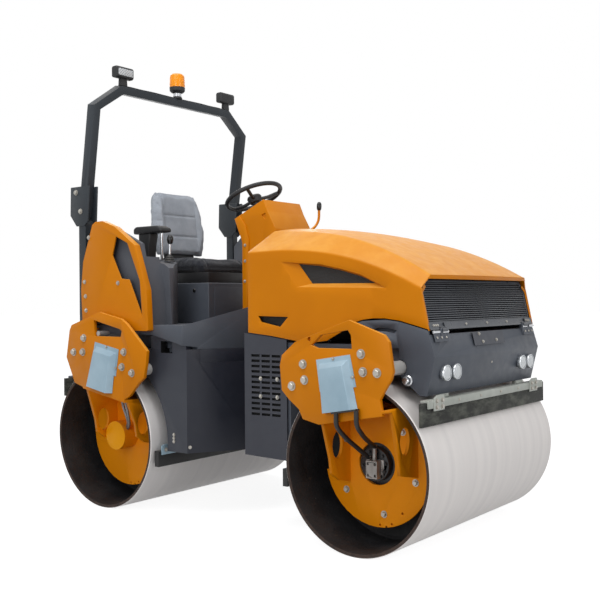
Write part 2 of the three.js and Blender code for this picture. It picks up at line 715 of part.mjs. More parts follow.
// ---------------------------------------------------------------- hood
// Sections of the hood: [distance behind the hinge, height of the side's top edge,
// set-in of the crease from the side, height of the crease, height of the roof].
const hoodSections = [
  [hoodLong, 386, 219, 508, 536],
  [822, 389, 165, 492, 516],
  [602, 371, 126, 464, 482],
  [372, 322, 94, 406, 416],
  [172, 250, 70, 326, 331],
  [-18, 160, 50, 226, 228],
];

// A closed loft through the sections, drawn in by wall on every side but the bottom.
function hoodLoft(wall, floor) {
  const rings = hoodSections.map(([back, sideUp, setIn, creaseUp, roofUp], i) => {
    const x = hoodHingeX - back + (i === 0 ? wall : 0);
    const half = [
      [hoodHalf - wall, floor], [hoodHalf - wall, sideUp - wall * 0.6],
      [hoodHalf - setIn - wall * 0.6, creaseUp - wall], [0, roofUp - wall],
    ];
    const mirrored = half.slice(0, 3).reverse().map(([y, up]) => [-y, up]);
    return [...half, ...mirrored].map(([y, up]) => [x, y, hoodHingeZ + up]);
  });
  const count = rings[0].length;
  const positions = rings.flat(2);
  const index = [];
  for (let i = 0; i + 1 < rings.length; i += 1) {
    for (let j = 0; j < count; j += 1) {
      const a = i * count + j;
      const b = i * count + (j + 1) % count;
      index.push(a, b, a + count, b, b + count, a + count);
    }
  }
  const last = (rings.length - 1) * count;
  for (let j = 1; j + 1 < count; j += 1) {
    index.push(0, j + 1, j, last, last + j, last + j + 1);
  }
  const geometry = new THREE.BufferGeometry();
  geometry.setAttribute('position', new THREE.Float32BufferAttribute(positions, 3));
  geometry.setIndex(index);
  return geometry;
}

function hoodShell() {
  const shell = cut(hoodLoft(0, -86), hoodLoft(hoodWall, -136));
  const lowerEdge = plateXZ(fromHinge([[hoodLong + 60, -136], ...hoodEdge, [-78, -136]]),
    -hoodHalf - 9, hoodHalf + 9);
  const front = plateXZ(fromHinge([
    [27, 364], [27, 248], [45, 192], [3, -6], [-78, -6], [-78, 364],
  ]), -hoodHalf - 9, hoodHalf + 9);
  const vents = [
    [[755, 322], [669, 220], [232, 204], [372, 255], [488, 284], [607, 306]],
    [[hoodLong - 67, 61], [hoodLong - 87, 31], [hoodLong - 212, 7], [hoodLong - 264, 57]],
  ].map((points) => plateXZ(fromHinge(points), -hoodHalf - 9, hoodHalf + 9));
  return cut(shell, lowerEdge, front, ...vents);
}
add('hood_shell', hoodShell(), yellow);

// Radiator grille: a leaning plate in the hood's front, cut into louvres.
function grille() {
  const taper = (grilleHalf - grilleTopHalf) / (grilleHigh - grilleShoulder);
  const half = (z) => grilleHalf - Math.max(0, z - grilleShoulder) * taper;
  const slots = [];
  for (let row = 0; row < grilleRows; row += 1) {
    const z = grilleFoot + row * grillePitch;
    const y = half(z + grilleSlot) - 22;
    slots.push(block(-9, grilleWall + 9, -y, y, z, z + grilleSlot));
  }
  const sheet = plateYZ([
    [-grilleHalf, 0], [grilleHalf, 0], [grilleHalf, grilleShoulder],
    [grilleTopHalf, grilleHigh], [-grilleTopHalf, grilleHigh], [-grilleHalf, grilleShoulder],
  ], 0, grilleWall);
  const plate = cut(sheet, ...slots).rotateY(-rad(grilleLean)).translate(grilleX, 0, grilleZ);
  const hinges = [-1, 1].flatMap((side) => [
    rodY(hingeRadius, side * hingeIn, side * hingeOut, hoodHingeX, hoodHingeZ, 20),
    block(grilleX + 2, hoodHingeX, side * hingeIn, side * hingeOut, hoodHingeZ, grilleZ + 12),
  ]);
  const bores = [-1, 1].map((side) => rodY(hingePinRadius + 0.5, side * (hingeIn - 9),
    side * (hingeOut + 9), hoodHingeX, hoodHingeZ, 24));
  return cut(join(plate, ...hinges), ...bores);
}
add('grille', grille(), black);

// ---------------------------------------------------------------- operator's platform
function deck() {
  const back = noseX - noseDepth - seat0;
  const slab = plateXY(rearPlan(deckHalf, back), chassisTop + seat0, deckTop);
  const ridge = plateXZ([[chamferX(deckHalf), deckTop - 1], [rearFront, deckTop - 1],
    [rearFront, deckTop + toeRise]], -deckHalf, deckHalf);
  const inside = plateXY(rearPlan(deckHalf, back).map(([x, y]) => [x - toeWall, y]),
    deckTop, deckTop + toeRise + 9);
  const outside = plateXY([
    [chamferX(deckHalf), -deckHalf], [rearFront, -chamferInner], [rearFront, chamferInner],
    [chamferX(deckHalf), deckHalf], [40, deckHalf + 9], [40, -deckHalf - 9],
  ], deckTop - 2, deckTop + toeRise + 9);
  const toeBoard = cut(ridge, inside, outside);
  const skirts = [-1, 1].map((side) => plateXZ([
    [ropsPinX - 255, chassisTop - 15], [chamferX(deckHalf) + 59, chassisTop - 15],
    [chamferX(deckHalf) + 59, chassisTop + 7], [ropsPinX + 552, chassisTop + 75],
    [ropsPinX - 255, chassisTop + 75],
  ], side * (frameHalf + 10), side * (deckHalf + 9)));
  return cut(join(slab, toeBoard), ...skirts);
}
add('operator_deck', deck(), darkGrey);

// What stands on the deck is drawn with heights above it, and behind the pedals its lengths
// are measured forward from the roll bar's pin.
const onDeck = (points) => points.map(([x, up]) => [x, deckTop + up]);
const fromBar = (points) => onDeck(points.map(([ahead, up]) => [ropsPinX + ahead, up]));

function fender(side) {
  const edge = fromBar([
    [10, -32], [4, 82], [-3, 199], [17, 361], [101, 571], [127, 587],
    [189, 589], [300, 549], [490, 467], [552, 192], [565, -26], [555, -32],
  ]);
  const window = fromBar([
    [307, 495], [433, 463], [500, 245], [520, 105], [413, 252], [347, 258],
    [273, 390],
  ]);
  const outer = side * fenderFace;
  const plate = plateXZ(edge, outer, side * (fenderFace - fenderPlate), [window]);
  const rim = plateXZ(edge, side * (fenderFace - 1), side * (deckHalf + seat0));
  const inside = plateXZ(fromBar([
    [-55, -21], [554, -21], [541, 190], [480, 459], [295, 538], [188, 578],
    [115, 576], [-55, 355],
  ]), side * fenderFace, side * deckHalf);
  return join(plate, cut(rim, inside));
}

function sideConsole(side) {
  const box = plateXZ(fromBar([
    [45, seat0], [45, 500], [115, 565], [175, 570], [288, 535], [470, 452],
    [533, 190], [545, seat0],
  ]), side * consoleOuter, side * deckHalf);
  const high = gripTop - deckTop;
  const grip = plateXZ(fromBar([
    [195, seat0], [195, high], [345, high], [525, high - 36], [565, high - 60], [583, seat0],
  ]), side * (consoleOuter + 1), side * consoleInner);
  const legRoom = plateXY([
    [ropsPinX + 589, side * consoleOuter], [ropsPinX + 589, side * (consoleInner - 9)],
    [ropsPinX + 452, side * (consoleInner - 9)],
  ], deckTop, gripTop + 9);
  return join(box, cut(grip, legRoom));
}

for (const [hand, side] of Object.entries(sides)) {
  add(`fender_${hand}`, fender(side), yellow);
  add(`side_console_${hand}`, sideConsole(side), darkGrey);
}

// Seat: a pedestal box, a sliding base and cushion, and a backrest that reclines.
add('seat_pedestal', block(ropsPinX + 95, ropsPinX + 625, -250, 250, deckTop + seat0,
  deckTop + seatRise), darkGrey);
const railZ = deckTop + seatRise + seat0;
const reclineX = ropsPinX + 126;
const reclineZ = railZ + 150;
function seatBase() {
  const pan = block(reclineX - 11, reclineX + 449, -200, 200, railZ, railZ + 62);
  const upright = block(reclineX - 11, reclineX + 11, -133, 133, railZ, reclineZ - 22);
  const ears = [-1, 1].map((side) => block(reclineX - 11, reclineX + 11, side * 121, side * 133,
    reclineZ - 30, reclineZ + 11));
  const bore = rodY(7.5, -140, 140, reclineX, reclineZ, 16);
  return cut(join(pan, upright, ...ears), bore);
}
add('seat_base', seatBase(), black);
add('seat_cushion', block(reclineX + 19, reclineX + 414, -seatHalf, seatHalf,
  railZ + 62 + seat0, railZ + 155),
  seatGrey);
function backrest() {
  const pan = plateXZ([
    [0, 0], [90, 0], [78, 300], [60, 440], [0, 448], [-14, 300],
  ], -seatHalf + 5, seatHalf - 5);
  const leaning = pan.rotateY(-rad(6)).translate(reclineX - 11, 0, railZ + 168);
  const lug = block(reclineX - 11, reclineX + 11, -120, 120, reclineZ - 15, railZ + 185);
  return join(leaning, lug, rodY(7, -133, 133, reclineX, reclineZ, 16));
}
add('seat_backrest', backrest(), seatGrey);

add('control_box', join(
  block(ropsPinX + 210, ropsPinX + 445, armrestY - 44, armrestY + 44, gripTop + 106,
    gripTop + 190),
  block(ropsPinX + 245, ropsPinX + 333, armrestY - 24, armrestY + 24, gripTop + seat0,
    gripTop + 110),
  rodZ(7, gripTop - 10, gripTop + 110, ropsPinX + 405, armrestY, 12),
), black);

const [dashLow, dashHigh] = onDeck([[-292, 601], [-75, 697]]);
const dashLean = Math.atan2(dashHigh[1] - dashLow[1], dashHigh[0] - dashLow[0]);
const wheelX = dashLow[0] + (dashHigh[0] - dashLow[0]) / 4 - wheelStand * Math.sin(dashLean);
const wheelZ = dashLow[1] + (dashHigh[1] - dashLow[1]) / 4 + wheelStand * Math.cos(dashLean);
function steeringConsole() {
  const head = plateXZ([
    dashLow, dashHigh, ...onDeck([[-45, 630], [12, 531], [12, 495], [-115, 411], [-215, 455],
      [-222, 485]]),
  ], -dashHalf, dashHalf);
  const column = block(-236, -70, -dashHalf, dashHalf, deckTop + seat0, deckTop + 515);
  const foot = block(-240, rearFront - toeWall - 6, -dashHalf, dashHalf, deckTop + seat0,
    deckTop + 60);
  return join(head, column, foot);
}
add('steering_console', steeringConsole(), yellow);

function steeringWheel() {
  const rim = new THREE.TorusGeometry(wheelRadius, 13, 10, 36).rotateX(Math.PI / 2);
  const hub = lathe([[0, -34], [46, -34], [46, 12], [0, 12]], 24);
  const stem = lathe([[0, -wheelStand + seat0], [18, -wheelStand + seat0], [18, -20], [0, -20]], 16);
  const spokes = [0, 1, 2].map((i) => new THREE.BoxGeometry(wheelRadius - 20, 10, 30)
    .translate((wheelRadius - 20) / 2 + 15, -12, 0).rotateX(0).rotateY(2 * Math.PI * i / 3));
  const wheel = join(rim, hub, stem, ...spokes);
  return wheel.rotateX(Math.PI / 2).rotateY(-dashLean).translate(wheelX, 0, wheelZ);
}
add('steering_wheel', steeringWheel(), black);

add('travel_lever', join(
  rodZ(8, deckTop + 511, deckTop + 615, -20, dashHalf + 14, 12),
  rodZ(15, deckTop + 610, deckTop + 695, -20, dashHalf + 14, 16),
  block(-36, -4, dashHalf + seat0, dashHalf + 24, deckTop + 505, deckTop + 555),
), yellow);

// ---------------------------------------------------------------- roll bar
function ropsPost(side) {
  const outer = side * ropsHalf;
  const inner = side * (ropsHalf - ropsWide);
  const post = block(ropsPinX - ropsDeep / 2, ropsPinX + ropsDeep / 2, inner, outer,
    deckTop + seat0, ropsPinZ - ropsPostGap);
  const foot = block(noseDepth - noseX + 1, ropsPinX + 44, side * (ropsHalf - 140), outer,
    deckTop + seat0, deckTop + 16);
  const cheek = (y0, y1) => plateXZ([
    [ropsPinX - 90, ropsPinZ + 145], [ropsPinX - 95, ropsPinZ - 20], [ropsPinX - 40, ropsPinZ - 85],
    [ropsPinX + 30, ropsPinZ - 85], [ropsPinX + 60, ropsPinZ - 60], [ropsPinX + 72, ropsPinZ + 145],
  ], y0, y1);
  const pin = rodY(ropsPinRadius, side * (ropsHalf - ropsWide - cheekWall),
    side * (ropsHalf + cheekWall), ropsPinX, ropsPinZ, 20);
  return join(post, foot, cheek(outer, side * (ropsHalf + cheekWall)),
    cheek(inner, side * (ropsHalf - ropsWide - cheekWall)), pin);
}

function ropsFrame() {
  const w = ropsWide - 2 * cheekGap;
  const half = ropsHalf - cheekGap;
  const low = ropsPinZ - 30;
  const k = 0.41 * w;              // set-in of the two bends
  const right = [
    [-half, low], [-half, ropsKneeZ], [-ropsCornerHalf, ropsTopZ],
  ];
  const insideRight = [
    [-half + w, low], [-half + w, ropsKneeZ - k], [-ropsCornerHalf + k, ropsTopZ - w],
  ];
  const arch = plateYZ([
    ...right, ...right.slice().reverse().map(([y, z]) => [-y, z]),
    ...insideRight.map(([y, z]) => [-y, z]), ...insideRight.slice().reverse(),
  ], -ropsDeep / 2, ropsDeep / 2);
  const bore = rodY(ropsPinRadius + 0.5, -ropsHalf - 9, ropsHalf + 9, 0, 0, 24);
  const leaning = cut(arch.translate(0, 0, -ropsPinZ), bore);
  return leaning.rotateY(rad(ropsLean)).translate(ropsPinX, 0, ropsPinZ);
}
for (const [hand, side] of Object.entries(sides)) {
  add(`rops_post_${hand}`, ropsPost(side), ropsGrey);
}
add('rops_frame', ropsFrame(), ropsGrey);

// Lamps and beacon stand on the crossbar, which leans with the roll bar.
const onCrossbar = (geometry, y) => geometry
  .translate(0, y, ropsTopZ - ropsPinZ + seat0).rotateY(rad(ropsLean))
  .translate(ropsPinX, 0, ropsPinZ);
for (const [hand, side] of Object.entries(sides)) {
  add(`work_light_${hand}`, onCrossbar(join(
    block(-10, 14, -14, 14, 0, 30),
    block(-22, 32, -64, 64, 24, 106),
  ), side * (ropsCornerHalf - 20)), black);
}
add('beacon', onCrossbar(join(
  block(-26, 26, -50, 50, 0, 22),
  rodZ(32, 18, 70, 0, 0, 24),
  rodZ(49, 66, 150, 0, 0, 24),
), 0), amber);
export default machine;
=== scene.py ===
"""Articulated tandem road roller: its finishes and details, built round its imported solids."""
import math

import bmesh
import bpy
import numpy as np
from mathutils import Matrix, Vector


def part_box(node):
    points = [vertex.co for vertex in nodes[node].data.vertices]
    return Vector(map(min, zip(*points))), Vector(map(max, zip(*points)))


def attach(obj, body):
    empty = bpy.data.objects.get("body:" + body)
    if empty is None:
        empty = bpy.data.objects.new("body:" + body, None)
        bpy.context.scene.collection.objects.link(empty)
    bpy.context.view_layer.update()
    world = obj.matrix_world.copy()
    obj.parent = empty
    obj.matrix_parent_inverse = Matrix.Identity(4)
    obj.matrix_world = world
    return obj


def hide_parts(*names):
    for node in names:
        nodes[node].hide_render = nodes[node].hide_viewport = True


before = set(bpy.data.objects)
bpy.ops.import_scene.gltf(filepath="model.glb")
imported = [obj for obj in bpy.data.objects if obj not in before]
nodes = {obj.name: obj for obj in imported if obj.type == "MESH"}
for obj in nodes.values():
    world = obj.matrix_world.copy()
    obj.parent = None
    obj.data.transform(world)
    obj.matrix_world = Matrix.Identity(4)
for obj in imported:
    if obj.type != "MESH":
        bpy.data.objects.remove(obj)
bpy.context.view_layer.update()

# ------------------------------------------------------------------ view, floor and light
# A long lens at eye height off the right front corner, a white floor and backdrop, and soft
# studio panels, so that painted steel shows its own colour.
scene = bpy.context.scene
scene.view_settings.view_transform = "Standard"


def standing_camera():
    place, lens, sensor, shift_x = (3.25073, -4.01752, 1.18227), 54.2675, 36, -0.05
    yaw, dip, roll = 0.63919, 0.001548, -0.007894
    ahead = Vector((-math.sin(yaw) * math.cos(dip), math.cos(yaw) * math.cos(dip), -math.sin(dip)))
    level = Vector((math.cos(yaw), math.sin(yaw), 0))
    upright = level.cross(ahead)
    right = math.cos(roll) * level + math.sin(roll) * upright
    up = -math.sin(roll) * level + math.cos(roll) * upright
    data = bpy.data.cameras.new("eye")
    data.sensor_width, data.lens, data.shift_x, data.clip_end = sensor, lens, shift_x, 200
    camera = bpy.data.objects.new("eye", data)
    turn = Matrix((right, up, -ahead)).transposed().to_4x4()
    camera.matrix_world = Matrix.Translation(place) @ turn
    scene.collection.objects.link(camera)
    scene.camera = camera


class Nodes:
    """A node tree, written one node at a time."""

    def __init__(self, tree):
        self.tree = tree

    def put(self, node, values):
        """Sets a node's inputs, each to a constant, an output, or a list of outputs."""
        for key, value in values.items():
            for part in value if isinstance(value, list) else [value]:
                if isinstance(part, bpy.types.NodeSocket):
                    self.tree.links.new(part, node.inputs[key])
                else:
                    node.inputs[key].default_value = part

    def add(self, kind, values=None, out=0, **settings):
        """A new node with its inputs and settings; gives one of its outputs."""
        node = self.tree.nodes.new(kind)
        for key, value in settings.items():
            setattr(node, key, value)
        self.put(node, values or {})
        return node.outputs[out]

    def seen_directly(self, otherwise, seen):
        """One shader for light that bounces, another for the camera, mirrors and clear glass."""
        path = self.tree.nodes.new("ShaderNodeLightPath").outputs
        share = path["Is Camera Ray"]
        for kind in ("Is Glossy Ray", "Is Transmission Ray"):
            share = self.add("ShaderNodeMath", {0: share, 1: path[kind]}, operation="MAXIMUM")
        return self.add("ShaderNodeMixShader", {0: share, 1: otherwise, 2: seen})


def white_room():
    scene.world = bpy.data.worlds.new("room")
    scene.world.use_nodes = True
    room = Nodes(scene.world.node_tree)
    room.tree.nodes.clear()
    lit = room.add("ShaderNodeBackground", {"Color": (0.97, 0.985, 1, 1), "Strength": 0.40})
    seen = room.add("ShaderNodeBackground", {"Color": (1, 1, 1, 1), "Strength": 1.0})
    room.put(room.tree.nodes.new("ShaderNodeOutputWorld"), {0: room.seen_directly(lit, seen)})


def white_floor():
    size, drop = 60, -0.001
    mesh = bpy.data.meshes.new("floor")
    mesh.from_pydata([(x, y, drop) for x, y in ((-size, -size), (size, -size), (size, size),
                                                (-size, size))], [], [(0, 1, 2, 3)])
    floor = bpy.data.objects.new("floor", mesh)
    scene.collection.objects.link(floor)
    material = bpy.data.materials.new("floor_white")
    material.use_nodes = True
    mesh.materials.append(material)
    paint = Nodes(material.node_tree)
    shader = paint.tree.nodes["Principled BSDF"]
    paint.put(shader, {"Base Color": (0.36, 0.36, 0.36, 1), "Roughness": 0.9,
                       "Specular IOR Level": 0.1})
    glow = paint.add("ShaderNodeEmission", {"Color": (1, 1, 1, 1), "Strength": 0.87})
    both = paint.add("ShaderNodeAddShader", {0: shader.outputs[0], 1: glow})
    paint.put(paint.tree.nodes["Material Output"],
              {"Surface": paint.seen_directly(shader.outputs[0], both)})


def soft_panel(name, place, aim, side, power):
    data = bpy.data.lights.new(name, "AREA")
    data.shape, data.size, data.energy = "SQUARE", side, power
    panel = bpy.data.objects.new(name, data)
    panel.location = place
    panel.rotation_euler = (Vector(aim) - Vector(place)).to_track_quat("-Z", "Y").to_euler()
    scene.collection.objects.link(panel)


standing_camera()
white_room()
white_floor()
soft_panel("sky_panel", (0.5, -2.5, 7.0), (0, 0, 0.8), 5.0, 300)
soft_panel("side_panel", (1.5, -7.0, 2.6), (0, 0, 1.0), 3.5, 115)
soft_panel("front_panel_light", (7.5, -1.0, 2.6), (0, 0, 0.9), 3.5, 115)
soft_panel("back_panel_light", (-6.0, 5.0, 4.0), (0, 0, 0.9), 4.0, 90)


# ------------------------------------------------------------------ drums
# Two rolled steel shells, welded to a web plate far inside each end and ground bright by the
# asphalt. The ends are bare, rusty plate, and the inside is painted black and dirty.
def linear(colour):
    return tuple(((v / 255 + 0.055) / 1.055) ** 2.4 if v > 10 else v / 255 / 12.92
                 for v in colour)


class Finish(Nodes):
    """A finish being mixed: colours, grain and wear, read from the piece's own coordinates."""

    def __init__(self, name, roughness, metallic=0.0, coat=0.0, specular=0.5):
        self.material = bpy.data.materials.new(name)
        self.material.use_nodes = True
        super().__init__(self.material.node_tree)
        self.shader = self.tree.nodes["Principled BSDF"]
        self.put(self.shader, {"Roughness": roughness, "Metallic": metallic, "Coat Weight": coat,
                               "Coat Roughness": 0.12, "Specular IOR Level": specular})
        self.at = self.add("ShaderNodeTexCoord", out="Object")

    def noise(self, scale, detail, stretch=(1, 1, 1), roughness=0.55):
        place = self.add("ShaderNodeMapping", {"Vector": self.at, "Scale": stretch})
        return self.add("ShaderNodeTexNoise", {"Vector": place, "Scale": scale, "Detail": detail,
                                               "Roughness": roughness}, "Fac")

    def ramp(self, value, low, high, start=0.0, end=1.0):
        return self.add("ShaderNodeMapRange", {"Value": value, "From Min": low, "From Max": high,
                                               "To Min": start, "To Max": end}, "Result")

    def maths(self, kind, a, b=0.0):
        return self.add("ShaderNodeMath", {0: a, 1: b}, operation=kind)

    def wave(self, value, pitch):
        return self.maths("SINE", self.maths("MULTIPLY", value, 2 * math.pi / pitch))

    def axis(self, letter):
        return self.add("ShaderNodeSeparateXYZ", {0: self.at}, letter)

    def facing(self, letter):
        normal = self.add("ShaderNodeNewGeometry", out="True Normal")
        return self.add("ShaderNodeSeparateXYZ", {0: normal}, letter)

    def mix(self, share, a, b):
        a, b = ((*linear(v), 1) if isinstance(v, tuple) else v for v in (a, b))
        return self.add("ShaderNodeMix", {"Factor": share, 6: a, 7: b}, 2, data_type="RGBA")

    def colour(self, value):
        self.put(self.shader, {"Base Color": value})

    def rough(self, value):
        self.put(self.shader, {"Roughness": value})

    def bump(self, value, depth, strength=1.0):
        relief = self.add("ShaderNodeBump", {"Distance": depth, "Strength": strength,
                                             "Height": value})
        self.put(self.shader, {"Normal": relief})


def drum_steel(name, light, dull):
    """Steel polished by rolling: faint bands round the drum, dull specks and hairline scratches."""
    f = Finish(name, 0.46, 0.12, specular=0.25)
    bands = f.noise(5, 2, (0.02, 3, 0.02))
    fine = f.noise(190, 2, (0.05, 2.4, 0.05))
    shade = f.mix(f.ramp(bands, 0.3, 0.75), light, dull)
    shade = f.mix(f.ramp(fine, 0.35, 0.75, 0.0, 0.14), shade, dull)
    specks = f.ramp(f.noise(75, 5), 0.70, 0.80, 0.0, 0.25)
    f.colour(f.mix(specks, shade, (150, 143, 136)))
    f.rough(f.ramp(fine, 0.3, 0.7, 0.42, 0.52))
    f.bump(fine, 0.0002, 0.1)
    return f.material


def rusty_rim():
    f = Finish("rusty_rim", 0.75, 0.3)
    f.colour(f.mix(f.ramp(f.noise(45, 6), 0.35, 0.7), (66, 50, 42), (34, 27, 25)))
    f.bump(f.noise(120, 5), 0.0012)
    return f.material


def drum_inside():
    """Black paint with dried mud and scuffs."""
    f = Finish("drum_inside", 0.72, specular=0.3)
    base = f.mix(f.ramp(f.noise(5, 5), 0.35, 0.68), (28, 28, 30), (47, 46, 47))
    mud = f.ramp(f.noise(26, 8, (1, 0.5, 1), 0.7), 0.60, 0.74, 0.0, 0.5)
    shade = f.mix(mud, base, (82, 72, 62))
    chips = f.ramp(f.noise(140, 3), 0.72, 0.76, 0.0, 0.6)
    f.colour(f.mix(chips, shade, (150, 146, 140)))
    f.rough(f.ramp(f.noise(12, 4), 0.3, 0.7, 0.42, 0.75))
    f.bump(f.noise(50, 5), 0.0015)
    return f.material


def new_piece(name, points, faces, *materials, smooth=True):
    mesh = bpy.data.meshes.new(name)
    mesh.from_pydata([tuple(p) for p in points], [], faces)
    mesh.update()
    piece = bpy.data.objects.new(name, mesh)
    scene.collection.objects.link(piece)
    for material in materials:
        mesh.materials.append(material)
    mesh.polygons.foreach_set("use_smooth", [smooth] * len(mesh.polygons))
    return piece


def by_angle(piece, degrees=32):
    """Smooth shading, but for edges that turn by more than an angle."""
    piece.data.polygons.foreach_set("use_smooth", [True] * len(piece.data.polygons))
    piece.data.set_sharp_from_angle(angle=math.radians(degrees))
    return piece


def closed_up(piece, pick=None):
    """Doubles merged and faces turned outward; pick gives a face its material."""
    tidy = bmesh.new()
    tidy.from_mesh(piece.data)
    bmesh.ops.remove_doubles(tidy, verts=tidy.verts, dist=1e-6)
    bmesh.ops.recalc_face_normals(tidy, faces=tidy.faces)
    if pick:
        for face in tidy.faces:
            face.material_index = pick(face.calc_center_median())
    tidy.to_mesh(piece.data)
    tidy.free()
    return piece


def settle(piece):
    """Turns the live modifiers of a piece into plain mesh."""
    shape = bpy.data.meshes.new_from_object(
        piece.evaluated_get(bpy.context.evaluated_depsgraph_get()))
    old = piece.data
    piece.modifiers.clear()
    piece.data = shape
    shape.name = old.name
    bpy.data.meshes.remove(old)
    return piece


def lofted(name, loops, *materials, ring=False, pick=None):
    """Loops of equal count joined in turn, capped, or closed to a ring through the first."""
    count, turns = len(loops[0]), len(loops)
    faces = [(i * count + j, i * count + (j + 1) % count,
              (i + 1) % turns * count + (j + 1) % count, (i + 1) % turns * count + j)
             for i in range(turns if ring else turns - 1) for j in range(count)]
    if not ring:
        faces += [tuple(range(count)), tuple(range(turns * count - 1, (turns - 1) * count - 1, -1))]
    points = [point for loop in loops for point in loop]
    return closed_up(new_piece(name, points, faces, *materials), pick)


def about(sides):
    return np.linspace(0, 2 * math.pi, sides, endpoint=False)


def spun(name, profile, start, axis, sides, *materials, pick=None):
    """A closed profile of (radius, distance along) turned about an axis from start."""
    axis = Vector(axis).normalized()
    u = axis.orthogonal().normalized()
    v = axis.cross(u)
    loops = [[Vector(start) + axis * h + (u * math.cos(t) + v * math.sin(t)) * r
              for r, h in profile] for t in about(sides)]
    return by_angle(lofted(name, loops, *materials, ring=True, pick=pick))


def drum(end, steel):
    low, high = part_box(f"{end}_drum")
    radius, half, middle = (high.z - low.z) / 2, (high.y - low.y) / 2, (low.x + high.x) / 2
    wall, web, chamfer, weld = 0.018, 0.33, 0.003, 0.012
    inner = radius - wall
    hub, hub_face, shaft, shaft_end = 0.12, 0.424, 0.04, 0.45
    right = [
        (radius, 0), (radius, half - chamfer), (radius - chamfer, half),
        (inner + 0.002, half), (inner, half - 0.002), (inner, half - web + weld),
        (inner - weld, half - web), (hub + weld, half - web), (hub, half - web + weld),
        (hub, hub_face), (shaft, hub_face), (shaft, shaft_end), (0.0, shaft_end),
    ]

    def surface(c):
        if math.hypot(c.x - middle, c.z - radius) > radius - chamfer / 2 - 0.0001:
            return 0
        return 1 if abs(c.y) > half - chamfer else 2

    shell = spun(f"{end}_drum_shell", right + [(r, -y) for r, y in reversed(right[1:])],
                 (middle, 0, radius), (0, 1, 0), 192, steel, RIM, INSIDE, pick=surface)
    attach(shell, f"{end}_drum")
    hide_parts(f"{end}_drum")


RIM, INSIDE = rusty_rim(), drum_inside()
drum("front", drum_steel("drum_steel", (236, 231, 228), (224, 219, 217)))
# The rear drum takes a lighter copy of the steel: painted light on the strip that the tank shades.
drum("rear", drum_steel("drum_steel_dull", (242, 238, 236), (230, 226, 225)))


# ------------------------------------------------------------------ drum yokes
# Each drum hangs between two welded yokes: an outer bracket plate, a sloped shelf, two holed
# ribs and a round disc inside the drum. All is flame-cut plate with broken edges, coated yellow.
def coat(name, base, other, roughness, grain=0.35, dust_and_top_light=(150, 140, 128), most_dust_and_top_light=0.25, scale=2.2,
         metallic=0.0, gleam=0.4, settled=0.0):
    """Sprayed paint: slow colour drift, a fine orange peel, and a lighter tint on level faces that
    is dust in patches and, where settled is above nought, painted top light laid evenly on every
    upward face.
    """
    f = Finish(name, roughness, metallic, specular=gleam)
    drift = f.mix(f.ramp(f.noise(scale, 4), 0.32, 0.68), base, other)
    # Upward faces take the tint: the noise gives patches of dust, and settled is a share that every
    # upward face takes evenly, as painted top light.
    lies = f.maths("MULTIPLY", f.ramp(f.facing("Z"), 0.25, 0.95),
                   f.ramp(f.noise(11, 6), 0.42, 0.75, settled, most_dust_and_top_light))
    f.colour(f.mix(lies, drift, dust_and_top_light))
    f.rough(f.ramp(f.noise(24, 3), 0.3, 0.7, roughness - 0.06, roughness + 0.08))
    f.bump(f.noise(420, 2), 0.0003, grain)
    return f.material


def eased_edges(piece, width, segments=2):
    edge = piece.modifiers.new("edge", "BEVEL")
    edge.width, edge.segments, edge.angle_limit = width, segments, math.radians(30)
    edge.limit_method, edge.miter_outer = "ANGLE", "MITER_ARC"
    return by_angle(settle(piece), 35)


def fit(piece, body, slot, *stands_for):
    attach(piece, body)
    if stands_for:
        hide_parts(*stands_for)
    return piece


def solid_copy(name, node, *materials):
    """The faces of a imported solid, merged, as the start of a finished piece."""
    mesh = nodes[node].data.copy()
    mesh.name = name
    tidy = bmesh.new()
    tidy.from_mesh(mesh)
    bmesh.ops.remove_doubles(tidy, verts=tidy.verts, dist=2e-5)
    bmesh.ops.dissolve_limit(tidy, angle_limit=math.radians(0.6), verts=tidy.verts,
                             edges=tidy.edges)
    tidy.to_mesh(mesh)
    tidy.free()
    mesh.materials.clear()
    for material in materials:
        mesh.materials.append(material)
    mesh.transform(nodes[node].matrix_world)
    piece = bpy.data.objects.new(name, mesh)
    scene.collection.objects.link(piece)
    return piece


def rounded(name, node, body, slot, material, width=0.003, segments=2):
    return fit(eased_edges(solid_copy(name, node, material), width, segments), body, slot, node)


def slab(name, outline, push, *materials):
    """A flat closed outline in space, thickened by push."""
    count, push = len(outline), Vector(push)
    points = [Vector(p) for p in outline] + [Vector(p) + push for p in outline]
    faces = [tuple(range(count)), tuple(range(2 * count - 1, count - 1, -1))]
    faces += [(i, i + count, (i + 1) % count + count, (i + 1) % count) for i in range(count)]
    return closed_up(new_piece(name, points, faces, *materials, smooth=False))


def side_slab(name, outline, y0, y1, *materials):
    return slab(name, [(x, y0, z) for x, z in outline], (0, y1 - y0, 0), *materials)


def plate(name, outline, push, material, width, body, slot, *stands_for, segments=2):
    """A slab with eased edges, on its body; its slot is not used."""
    return fit(eased_edges(slab(name, outline, push, material), width, segments), body, slot,
               *stands_for)


def ellipse(u, v, radius_u, radius_v, sides=24):
    return [(u + radius_u * math.cos(t), v + radius_v * math.sin(t)) for t in about(sides)]


def carve(piece, tools, operation="DIFFERENCE"):
    for tool in tools:
        step = piece.modifiers.new(tool.name, "BOOLEAN")
        step.operation, step.object, step.solver = operation, tool, "EXACT"
    settle(piece)
    for tool in tools:
        bpy.data.objects.remove(tool)
    return piece


def paint_where(piece, index, inside):
    for face in piece.data.polygons:
        if inside(face.center):
            face.material_index = index


